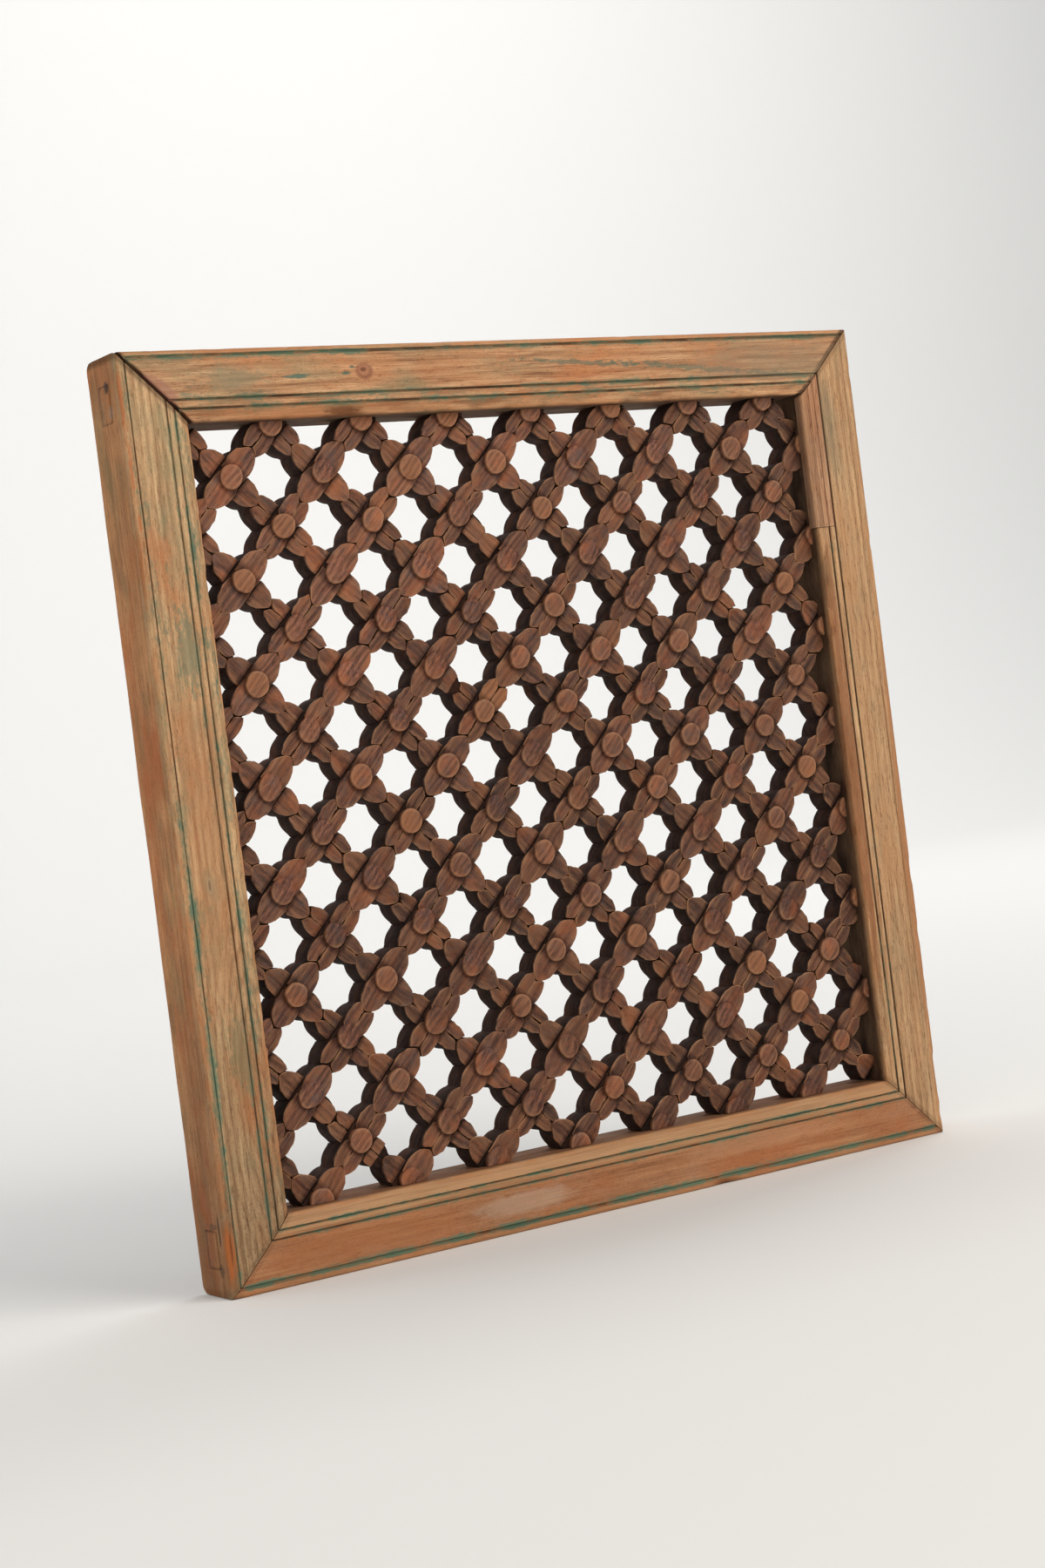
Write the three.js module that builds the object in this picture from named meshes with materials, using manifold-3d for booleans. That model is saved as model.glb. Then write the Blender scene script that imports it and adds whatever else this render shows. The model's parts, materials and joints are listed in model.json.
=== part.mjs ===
// A carved lattice panel in old hardwood: a mitred frame of two rails and two stiles, and inside it
// a diagonal lattice of bars that are cross-halved at every crossing and carved into flowers.
// Millimetres, +Z up. The front faces -Y, and the origin is on the middle of the top rail's back.

import * as THREE from 'three';
import { mergeVertices } from 'three/addons/utils/BufferGeometryUtils.js';
import Module from 'manifold-3d';

const wasm = await Module();
wasm.setup();

// Panel and frame
const panelWidth = 600;
const panelHeight = 610;
const frameDepth = 44;
const memberFace = 47; // width of a rail or stile, seen from the front
const fitGap = 0.3; // clearance between neighbouring pieces
const mergeStep = 0.0001; // corners of triangles this close together are one point
const simplifyStep = 0.001; // joined faces lose the points that change them by less
const cutOvershoot = 1; // a cutting block reaches this far past the faces it cuts through
const openMitre = 1.6; // the top left mitre has opened by this much

// Moulding on the front of the frame, measured inwards from the outer edge
const wornEdge = 1.6; // outer corner, worn off
const beadWidth = 4.8;
const beadGroove = 2.3;
const filletStart = 31.6;
const filletWidth = 4.3;
const filletGroove = 1.7;
const grooveDepth = 1.5;
const innerFall = 1.6; // the innermost band slopes back by this much

// Through tenons on the rails, seen on the outer sides of the stiles
const tenonHeight = 25;
const tenonThickness = 16;
const tenonFromEnd = 31; // from the end of the stile to the middle of the tenon
const tenonShort = 0.4; // the tenon's end grain stands this far below the stile's side

// Repair strip let into the inner moulding of the right stile
const stripLength = 100; // below the mitre's inner corner
const stripDepth = 9.5;
const stripProud = 2; // it stands out into the opening

// Lattice
const crossings = 16; // grid lines each way, flowers on every second one
const gridPitch = 34.2; // between grid lines, half the distance between flowers in a row
const barDepth = 20;
const latticeSetback = 12.5; // rising bars, behind the front of the frame
const fallingSetback = 1.5; // falling bars' petals lie this much deeper
const barHalfWidth = 9.8; // at a crossing
const neckHalfWidth = 5.2; // where two flowers' petal tips meet
const lobeReach = 15.5; // from a crossing to where the petals begin to narrow
const bossRadius = 9.2; // to the corners of the boss on each flower
const bossSides = 6;
const bossHeight = 2.2;
const bossRoot = 1; // how far the boss is sunk in the bar before the two are joined

const openingWidth = panelWidth - 2 * memberFace;
const openingHeight = panelHeight - 2 * memberFace;
const barStep = gridPitch * Math.SQRT2;
const notchHalfWidth = barHalfWidth + fitGap;
const risingFront = latticeSetback - frameDepth;
const fallingFront = risingFront + fallingSetback;
const latticeBack = risingFront + barDepth;
const halvingLevel = (risingFront + latticeBack) / 2;

const timber = {
  rail: { color: 0xa8764a, roughness: 0.72, metalness: 0 },
  stile: { color: 0xb08a5c, roughness: 0.74, metalness: 0 },
  strip: { color: 0xb88c5e, roughness: 0.7, metalness: 0 },
  rising: { color: 0x744a33, roughness: 0.68, metalness: 0 },
  falling: { color: 0x6a4230, roughness: 0.7, metalness: 0 },
};

// A closed geometry as a solid that can be joined and cut
function toSolid(geometry) {
  const bare = geometry.clone();
  bare.deleteAttribute('normal');
  bare.deleteAttribute('uv');
  const merged = mergeVertices(bare, mergeStep);
  const vertProperties = new Float32Array(merged.attributes.position.array);
  const triVerts = new Uint32Array(merged.index.array);
  return new wasm.Manifold(new wasm.Mesh({ numProp: 3, vertProperties, triVerts }));
}

function toGeometry(solid) {
  const mesh = solid.simplify(simplifyStep).getMesh();
  const geometry = new THREE.BufferGeometry();
  geometry.setAttribute('position', new THREE.BufferAttribute(mesh.vertProperties, 3));
  geometry.setIndex(new THREE.BufferAttribute(mesh.triVerts, 1));
  geometry.computeVertexNormals();
  return geometry;
}

function namedMesh(name, geometry, finish) {
  const mesh = new THREE.Mesh(geometry, new THREE.MeshStandardMaterial(finish));
  mesh.name = name;
  return mesh;
}

// A box between two corners
function block(low, high) {
  const size = new THREE.Vector3().subVectors(high, low);
  const middle = new THREE.Vector3().addVectors(low, high).multiplyScalar(0.5);
  return new THREE.BoxGeometry(size.x, size.y, size.z).translate(middle.x, middle.y, middle.z);
}

// Frame members are made lying along their own length: x runs inwards from the outer edge,
// y runs back from the front face, z runs along the member.

function memberProfile() {
  const filletEnd = filletStart + filletGroove + filletWidth;
  const points = [
    [0, frameDepth],
    [0, wornEdge],
    [wornEdge, 0],
    [beadWidth, 0],
    [beadWidth + beadGroove / 2, grooveDepth],
    [beadWidth + beadGroove, 0],
    [filletStart, 0],
    [filletStart + filletGroove / 2, grooveDepth],
    [filletStart + filletGroove, 0],
    [filletEnd, 0],
    [filletEnd + filletGroove / 2, grooveDepth],
    [filletEnd + filletGroove, 0],
    [memberFace, innerFall],
    [memberFace, frameDepth],
  ];
  return points.map(([inward, back]) => new THREE.Vector2(inward, back));
}

// The strip repeats the inner part of the moulding, a little proud of the opening
function stripProfile() {
  const filletEnd = filletStart + filletGroove + filletWidth;
  const outer = filletStart + filletGroove / 2 + fitGap;
  const points = [
    [outer, stripDepth],
    [outer, 0],
    [filletEnd, 0],
    [filletEnd + filletGroove / 2, grooveDepth],
    [filletEnd + filletGroove, 0],
    [memberFace + stripProud, innerFall],
    [memberFace + stripProud, stripDepth],
  ];
  return points.map(([inward, back]) => new THREE.Vector2(inward, back));
}

// Extrudes a profile and slants its ends to the mitre, each end moved in by its own gap.
// A square end has a gap of null.
function mitred(profile, length, startGap, endGap) {
  const shape = new THREE.Shape(profile);
  const geometry = new THREE.ExtrudeGeometry(shape, { depth: length, bevelEnabled: false });
  const position = geometry.attributes.position;
  for (let k = 0; k < position.count; k += 1) {
    const inward = position.getX(k);
    const atStart = position.getZ(k) < length / 2;
    const gap = atStart ? startGap : endGap;
    if (gap !== null) {
      position.setZ(k, atStart ? inward + gap : length - inward - gap);
    }
  }
  return geometry;
}

// Turns a member from its own axes to the top of the panel, centred on the panel's middle
function laidAtTop(geometry, length, reach) {
  const turn = new THREE.Matrix4().makeBasis(
    new THREE.Vector3(0, 0, -1),
    new THREE.Vector3(0, 1, 0),
    new THREE.Vector3(1, 0, 0),
  );
  turn.setPosition(-length / 2, -frameDepth, reach);
  return geometry.applyMatrix4(turn);
}

const tenonBack = (frameDepth + tenonThickness) / 2;
const tenonFront = (frameDepth - tenonThickness) / 2;
const tenonTop = tenonFromEnd - tenonHeight / 2;
const tenonBottom = tenonFromEnd + tenonHeight / 2;

// A rail with a tenon through the stile at each end
function railSolid(length, startGap, endGap) {
  let solid = toSolid(mitred(memberProfile(), length, startGap, endGap));
  const root = tenonBottom + memberFace / 2;
  for (const [from, to] of [[tenonShort, root], [length - root, length - tenonShort]]) {
    const low = new THREE.Vector3(tenonTop, tenonFront, from);
    const high = new THREE.Vector3(tenonBottom, tenonBack, to);
    solid = solid.add(toSolid(block(low, high)));
  }
  return solid;
}

// A stile with a mortise at each end for the rails' tenons
function stileSolid(length) {
  let solid = toSolid(mitred(memberProfile(), length, fitGap / 2, fitGap / 2));
  for (const middle of [tenonFromEnd, length - tenonFromEnd]) {
    const halfHeight = tenonHeight / 2 + fitGap;
    const low = new THREE.Vector3(-cutOvershoot, tenonFront - fitGap, middle - halfHeight);
    const throughFace = memberFace + cutOvershoot;
    const high = new THREE.Vector3(throughFace, tenonBack + fitGap, middle + halfHeight);
    solid = solid.subtract(toSolid(block(low, high)));
  }
  return solid;
}

// The rebate that the repair strip lies in
function stripRebate() {
  const stop = memberFace + stripLength + fitGap;
  const low = new THREE.Vector3(filletStart + filletGroove / 2, -cutOvershoot, -cutOvershoot);
  const high = new THREE.Vector3(memberFace + cutOvershoot, stripDepth + fitGap, stop);
  return toSolid(block(low, high));
}

function buildFrame() {
  const frame = new THREE.Group();
  const halfWidth = panelWidth / 2;
  const halfHeight = panelHeight / 2;
  const closed = fitGap / 2;

  const topRail = toGeometry(railSolid(panelWidth, openMitre, closed));
  const bottomRail = toGeometry(railSolid(panelWidth, closed, closed));
  const leftStile = toGeometry(stileSolid(panelHeight));
  const rightStile = toGeometry(stileSolid(panelHeight).subtract(stripRebate()));
  const strip = mitred(stripProfile(), memberFace + stripLength, closed, null);

  const members = [
    ['top_rail', topRail, panelWidth, halfHeight, 0, timber.rail],
    ['bottom_rail', bottomRail, panelWidth, halfHeight, Math.PI, timber.rail],
    ['left_stile', leftStile, panelHeight, halfWidth, -Math.PI / 2, timber.stile],
    ['right_stile', rightStile, panelHeight, halfWidth, Math.PI / 2, timber.stile],
    ['repair_strip', strip, panelHeight, halfWidth, Math.PI / 2, timber.strip],
  ];
  for (const [name, geometry, length, reach, turn, finish] of members) {
    const mesh = namedMesh(name, laidAtTop(geometry, length, reach), finish);
    mesh.rotation.y = turn;
    frame.add(mesh);
  }
  return frame;
}

// Lattice bars are made along x, with z across them and y into the panel. One side of a bar is whole
// and runs on over the crossings with full lobes, and the other is notched half through for the bars
// that cross it. A bar that runs through reaches past its outermost crossings, and any other bar
// stops short of them, against the flank of the bar there.
function barGeometry(spans, wholeLevel, notchedLevel, notchLevel, runsThrough) {
  const corners = [];
  const wholeInFront = wholeLevel < notchedLevel;

  function triangle(a, b, c) {
    corners.push(...a, ...(wholeInFront ? b : c), ...(wholeInFront ? c : b));
  }
  function quad(a, b, c, d) {
    triangle(a, b, c);
    triangle(a, c, d);
  }
  // The bar's corners at one place: the whole side's two, the notched side's two and the notch's two
  function section(along, halfWidth, wholeAlong = along) {
    return {
      wholeLow: [wholeAlong, wholeLevel, -halfWidth],
      wholeHigh: [wholeAlong, wholeLevel, halfWidth],
      cutLow: [along, notchedLevel, -halfWidth],
      cutHigh: [along, notchedLevel, halfWidth],
      floorLow: [along, notchLevel, -halfWidth],
      floorHigh: [along, notchLevel, halfWidth],
    };
  }
  // A stretch of full depth between two sections
  function stretch(from, to) {
    quad(from.wholeLow, to.wholeLow, to.wholeHigh, from.wholeHigh);
    quad(from.cutLow, from.cutHigh, to.cutHigh, to.cutLow);
    quad(from.wholeLow, from.cutLow, to.cutLow, to.wholeLow);
    quad(from.wholeHigh, to.wholeHigh, to.cutHigh, from.cutHigh);
  }
  // A crossing, with the notch between two sections
  function crossing(from, to) {
    quad(from.wholeLow, to.wholeLow, to.wholeHigh, from.wholeHigh);
    quad(from.floorLow, from.floorHigh, to.floorHigh, to.floorLow);
    quad(from.cutLow, from.cutHigh, from.floorHigh, from.floorLow);
    quad(to.cutLow, to.floorLow, to.floorHigh, to.cutHigh);
    quad(from.wholeLow, from.floorLow, to.floorLow, to.wholeLow);
    quad(from.wholeHigh, to.wholeHigh, to.floorHigh, from.floorHigh);
    triangle(from.wholeLow, from.cutLow, from.floorLow);
    triangle(from.wholeHigh, from.floorHigh, from.cutHigh);
    triangle(to.wholeLow, to.floorLow, to.cutLow);
    triangle(to.wholeHigh, to.cutHigh, to.floorHigh);
  }

  const firstCrossing = (-barStep * spans) / 2;
  const tip = runsThrough ? -notchHalfWidth : notchHalfWidth;
  const start = section(firstCrossing + tip, barHalfWidth);
  const end = section(-firstCrossing - tip, barHalfWidth);
  quad(start.wholeLow, start.wholeHigh, start.cutHigh, start.cutLow);
  quad(end.wholeLow, end.cutLow, end.cutHigh, end.wholeHigh);

  let reached = start;
  for (let k = 0; k <= spans; k += 1) {
    const middle = firstCrossing + k * barStep;
    const before = section(middle - notchHalfWidth, barHalfWidth, middle - lobeReach);
    const after = section(middle + notchHalfWidth, barHalfWidth, middle + lobeReach);
    const neck = section(middle + barStep / 2, neckHalfWidth);
    const inner = k > 0 && k < spans;
    if (k > 0 && (inner || runsThrough)) {
      stretch(reached, before);
      reached = before;
    }
    if (inner) {
      crossing(before, after);
      reached = after;
    } else if (k === 0 && runsThrough) {
      stretch(reached, after);
      reached = after;
    }
    if (k < spans) {
      stretch(reached, neck);
      reached = neck;
    }
  }
  stretch(reached, end);

  const geometry = new THREE.BufferGeometry();
  geometry.setAttribute('position', new THREE.Float32BufferAttribute(corners, 3));
  return geometry;
}

function bossSolid(along) {
  const boss = new THREE.CylinderGeometry(bossRadius, bossRadius, bossHeight + bossRoot, bossSides);
  const middle = risingFront + (bossRoot - bossHeight) / 2;
  return toSolid(boss.translate(along, middle, 0));
}

// The frame's opening, less the fit, which trims the ends of every bar
function openingSolid(barMatrix) {
  const size = [openingWidth - 2 * fitGap, 2 * frameDepth, openingHeight - 2 * fitGap];
  const box = new THREE.BoxGeometry(...size).translate(0, -frameDepth / 2, 0);
  return toSolid(box.applyMatrix4(barMatrix.clone().invert()));
}

// A bar through the crossings from one grid point to another
function latticeBar(name, from, to, rising) {
  const centre = (crossings - 1) / 2;
  const spans = to[0] - from[0];
  const across = ((from[0] + to[0]) / 2 - centre) * gridPitch;
  const up = (centre - (from[1] + to[1]) / 2) * gridPitch;

  const place = new THREE.Matrix4().makeRotationY(rising ? -Math.PI / 4 : Math.PI / 4);
  place.setPosition(across, 0, up);

  let solid = null;
  if (rising) {
    solid = toSolid(barGeometry(spans, risingFront, latticeBack, halvingLevel - fitGap / 2, true));
    for (let k = 0; k <= spans; k += 1) {
      solid = solid.add(bossSolid((k - spans / 2) * barStep));
    }
  } else {
    solid = toSolid(barGeometry(spans, latticeBack, fallingFront, halvingLevel + fitGap / 2, false));
  }
  const geometry = toGeometry(solid.intersect(openingSolid(place)));
  const mesh = namedMesh(name, geometry, rising ? timber.rising : timber.falling);
  mesh.applyMatrix4(place);
  return mesh;
}

function buildLattice() {
  const lattice = new THREE.Group();
  const last = crossings - 1;
  const number = (count) => String(count).padStart(2, '0');

  // Rising bars join grid points whose column and row add up to the same even number
  for (let sum = 2; sum < 2 * last; sum += 2) {
    const from = [Math.max(0, sum - last), Math.min(sum, last)];
    const to = [Math.min(sum, last), Math.max(0, sum - last)];
    lattice.add(latticeBar(`rising_bar_${number(sum / 2)}`, from, to, true));
  }
  // Falling bars join grid points whose column and row differ by the same even number
  for (let shift = 1 - last; shift < last; shift += 2) {
    const from = [Math.max(0, shift), Math.max(0, -shift)];
    const to = [Math.min(last, last + shift), Math.min(last, last - shift)];
    lattice.add(latticeBar(`falling_bar_${number((shift + last + 1) / 2)}`, from, to, false));
  }
  return lattice;
}

const panel = new THREE.Group();
panel.position.z = (memberFace - panelHeight) / 2;
panel.add(buildFrame(), buildLattice());

export default panel;
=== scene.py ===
import json
import math
import random
from functools import partial

import bmesh
import bpy
from mathutils import Matrix, Vector, noise

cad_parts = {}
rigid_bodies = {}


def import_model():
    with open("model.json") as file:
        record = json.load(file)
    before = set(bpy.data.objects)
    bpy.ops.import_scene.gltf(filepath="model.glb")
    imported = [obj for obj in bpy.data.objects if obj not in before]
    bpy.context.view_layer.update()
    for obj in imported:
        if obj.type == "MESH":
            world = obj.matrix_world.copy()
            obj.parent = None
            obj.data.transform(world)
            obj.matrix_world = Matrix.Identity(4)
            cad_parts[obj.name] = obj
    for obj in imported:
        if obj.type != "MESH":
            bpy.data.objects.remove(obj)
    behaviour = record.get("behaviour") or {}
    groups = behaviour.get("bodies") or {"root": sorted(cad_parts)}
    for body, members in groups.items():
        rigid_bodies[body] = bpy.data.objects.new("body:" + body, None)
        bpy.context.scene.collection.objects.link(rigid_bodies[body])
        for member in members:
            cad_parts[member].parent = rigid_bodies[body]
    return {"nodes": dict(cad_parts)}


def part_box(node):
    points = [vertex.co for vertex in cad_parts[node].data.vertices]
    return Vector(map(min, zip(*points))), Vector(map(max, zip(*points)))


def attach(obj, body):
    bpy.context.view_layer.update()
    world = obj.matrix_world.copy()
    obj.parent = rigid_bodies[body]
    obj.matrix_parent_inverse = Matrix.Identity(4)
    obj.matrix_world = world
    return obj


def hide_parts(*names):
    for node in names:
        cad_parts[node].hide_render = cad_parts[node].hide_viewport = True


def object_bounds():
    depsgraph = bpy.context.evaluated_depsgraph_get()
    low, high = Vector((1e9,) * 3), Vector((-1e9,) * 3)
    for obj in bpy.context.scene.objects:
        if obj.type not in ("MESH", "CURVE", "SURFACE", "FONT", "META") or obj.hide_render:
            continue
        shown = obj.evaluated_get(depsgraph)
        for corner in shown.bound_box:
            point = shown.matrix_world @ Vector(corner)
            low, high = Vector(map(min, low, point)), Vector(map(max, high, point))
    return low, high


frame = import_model()
cadLow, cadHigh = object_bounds()
panelMiddle = (cadLow + cadHigh) / 2
mm = 0.001
print("frame loaded,", len(frame["nodes"]), "nodes")

scene = bpy.context.scene
scene.view_settings.view_transform = "Standard"

# camera: the photograph's place, from the left and almost level, tipped a little to one side
camera = {
    "aimRight": -35.0,  # mm from the middle of the panel's front
    "aimUp": -2.1,
    "distance": 1890.4,
    "azimuth": -32.24,
    "elevation": 0.77,
    "roll": -7.14,
    "lens": 63.0,
    "sensor": 36.0,
}


def placeCamera():
    aim = Vector((panelMiddle.x, cadLow.y, panelMiddle.z))
    aim += Vector((camera["aimRight"], 0, camera["aimUp"])) * mm
    turn = math.radians(camera["azimuth"])
    lift = math.radians(camera["elevation"])
    back = Vector((math.cos(lift) * math.sin(turn), -math.cos(lift) * math.cos(turn), math.sin(lift)))
    data = bpy.data.cameras.new("camera")
    data.lens = camera["lens"]
    data.sensor_width = camera["sensor"]
    data.dof.use_dof = False
    eye = bpy.data.objects.new("camera", data)
    look = (-back).to_track_quat("-Z", "Y").to_matrix().to_4x4()
    roll = Matrix.Rotation(math.radians(camera["roll"]), 4, "Z")
    eye.matrix_world = Matrix.Translation(aim + back * camera["distance"] * mm) @ look @ roll
    scene.collection.objects.link(eye)
    scene.camera = eye


placeCamera()
print("camera placed")


def linear(hexText):
    channels = [int(hexText[k:k + 2], 16) / 255 for k in (1, 3, 5)]
    return [c / 12.92 if c <= 0.04045 else ((c + 0.055) / 1.055) ** 2.4 for c in channels] + [1]


def perMetre(*sizes):
    return [1 / (size * mm) for size in sizes]  # sizes in mm, for a pattern on Object coordinates


def addNode(tree, kind, settings=None, inputs=None, output=0):
    node = tree.nodes.new("ShaderNode" + kind)
    for name, value in (settings or {}).items():
        if name == "stops":
            for k, (place, colour) in enumerate(value):
                stop = node.color_ramp.elements[k] if k < 2 else node.color_ramp.elements.new(place)
                stop.position = place
                stop.color = colour
        else:
            setattr(node, name, value)
    for name, value in (inputs or {}).items():
        if isinstance(value, bpy.types.NodeSocket):
            tree.links.new(value, node.inputs[name])
        else:
            node.inputs[name].default_value = value
    return node.outputs[output] if node.outputs else None


def vertsOf(geom):
    return [part for part in geom if isinstance(part, bmesh.types.BMVert)]


def edgesOf(geom):
    return [part for part in geom if isinstance(part, bmesh.types.BMEdge)]


# stage: a pale floor that sweeps up behind, and soft light
stage = {
    "colour": "#f4f3f0",
    "floorFront": 4.5,  # m
    "floorBack": 3.2,
    "halfWidth": 7.0,
    "coveRadius": 1.4,
    "coveSteps": 24,
    "wallHeight": 4.0,
    "sky": "#f3f6fb",
    "skyStrength": 0.42,
    "roughness": 0.9,
    "specular": 0.2,
}
lamps = [
    {"name": "key", "from": (1.3, -2.6, 1.9), "to": (0, 0, 0), "size": 2.4, "power": 72,
     "colour": "#fff8ee"},
    {"name": "window", "from": (-2.4, -2.2, 1.4), "to": (0, 0, 0), "size": 1.8, "power": 12,
     "colour": "#fff1e2"},
    {"name": "backdropLeft", "from": (-2.2, 1.6, 3.2), "to": (-1, 4.5, 0), "size": 2.5, "power": 28,
     "colour": "#ffffff"},
    {"name": "backdropRight", "from": (2.8, 1.6, 3.2), "to": (2, 4.5, 0), "size": 2.5, "power": 71,
     "colour": "#ffffff"},
]


def buildStage():
    bm = bmesh.new()
    ends = [bm.verts.new((side * stage["halfWidth"], -stage["floorFront"], 0)) for side in (-1, 1)]
    edge = bm.edges.new(ends)
    run = Vector((0, stage["floorFront"] + stage["floorBack"], 0))
    made = bmesh.ops.extrude_edge_only(bm, edges=[edge])["geom"]
    bmesh.ops.translate(bm, vec=run, verts=vertsOf(made))
    backEdge = [e for e in edgesOf(made) if all(v.co.y > 0 for v in e.verts)]
    centre = Vector((0, stage["floorBack"], stage["coveRadius"]))
    cove = bmesh.ops.spin(bm, geom=backEdge + list(backEdge[0].verts), cent=centre, axis=(1, 0, 0),
                          angle=math.pi / 2, steps=stage["coveSteps"], use_merge=False,
                          use_duplicate=False)
    made = bmesh.ops.extrude_edge_only(bm, edges=edgesOf(cove["geom_last"]))["geom"]
    bmesh.ops.translate(bm, vec=(0, 0, stage["wallHeight"]), verts=vertsOf(made))
    bmesh.ops.translate(bm, vec=(0, 0, cadLow.z), verts=bm.verts[:])
    bmesh.ops.recalc_face_normals(bm, faces=bm.faces[:])
    for face in bm.faces:
        face.smooth = True
    mesh = bpy.data.meshes.new("floor")
    bm.to_mesh(mesh)
    bm.free()
    floor = bpy.data.objects.new("floor", mesh)
    scene.collection.objects.link(floor)

    # matt painted board: no gloss, so the floor only shows soft shade
    board = bpy.data.materials.new("mattPaintedBoard")
    board.use_nodes = True
    shader = board.node_tree.nodes["Principled BSDF"]
    shader.inputs["Base Color"].default_value = linear(stage["colour"])
    shader.inputs["Roughness"].default_value = stage["roughness"]
    shader.inputs["Specular IOR Level"].default_value = stage["specular"]
    mesh.materials.append(board)

    world = bpy.data.worlds.new("studio")
    world.use_nodes = True
    sky = world.node_tree.nodes["Background"]
    sky.inputs["Color"].default_value = linear(stage["sky"])
    sky.inputs["Strength"].default_value = stage["skyStrength"]
    scene.world = world

    for lamp in lamps:
        data = bpy.data.lights.new(lamp["name"], "AREA")
        data.size = lamp["size"]
        data.energy = lamp["power"]
        data.color = linear(lamp["colour"])[:3]
        light = bpy.data.objects.new(lamp["name"], data)
        place = panelMiddle + Vector(lamp["from"])
        aim = panelMiddle + Vector(lamp["to"])
        look = (aim - place).to_track_quat("-Z", "Y").to_matrix().to_4x4()
        light.matrix_world = Matrix.Translation(place) @ look
        scene.collection.objects.link(light)


buildStage()
print("stage and lights set")


marksOfUse = ("wear", "grime", "tone", "gold", "paint", "russet")
# patterns that all the timbers share: length along the grain and width in mm, and detail
timberPatterns = {
    "pore": (8, 1.1, 2),  # real pores are finer, and would not show
    "grit": (1.8, 0.9, 2),
    "flake": (5, 1.8, 5),
    "rub": (11, 6, 3),
}
# layers on the wood: where in its pattern each begins and is full, and how it is mixed in
timberLayers = {
    "blotch": (0.48, 0.68, "MIX"),
    "film": (0.5, 0.72, "MIX"),
    "pore": (0.57, 0.68, "MULTIPLY"),
}
timberLook = {
    "figure": {"dark": 0.34, "light": 0.66, "middle": 0.5},  # where in the figure a colour lies
    "goldFigure": {"goldDark": 0.3, "gold": 0.55},
    "archWaver": 2.4,
    "russet": "#fbe0cb",
    "rimPower": 1.7,  # keeps the rubbing at the rim
    "paintDark": "#334637",
    "paintLight": "#7e9174",
    "paintFrom": 0.88,
    "paintTo": 1.22,
    "markDepth": 14,  # mm
    "markEdge": 0.4,
    "poreSunk": -0.5,
    "paintProud": 0.25,
    "relief": 0.6,  # mm
    "grimeRoughness": 0.35,
    "glossRange": 0.2,
}


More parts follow.
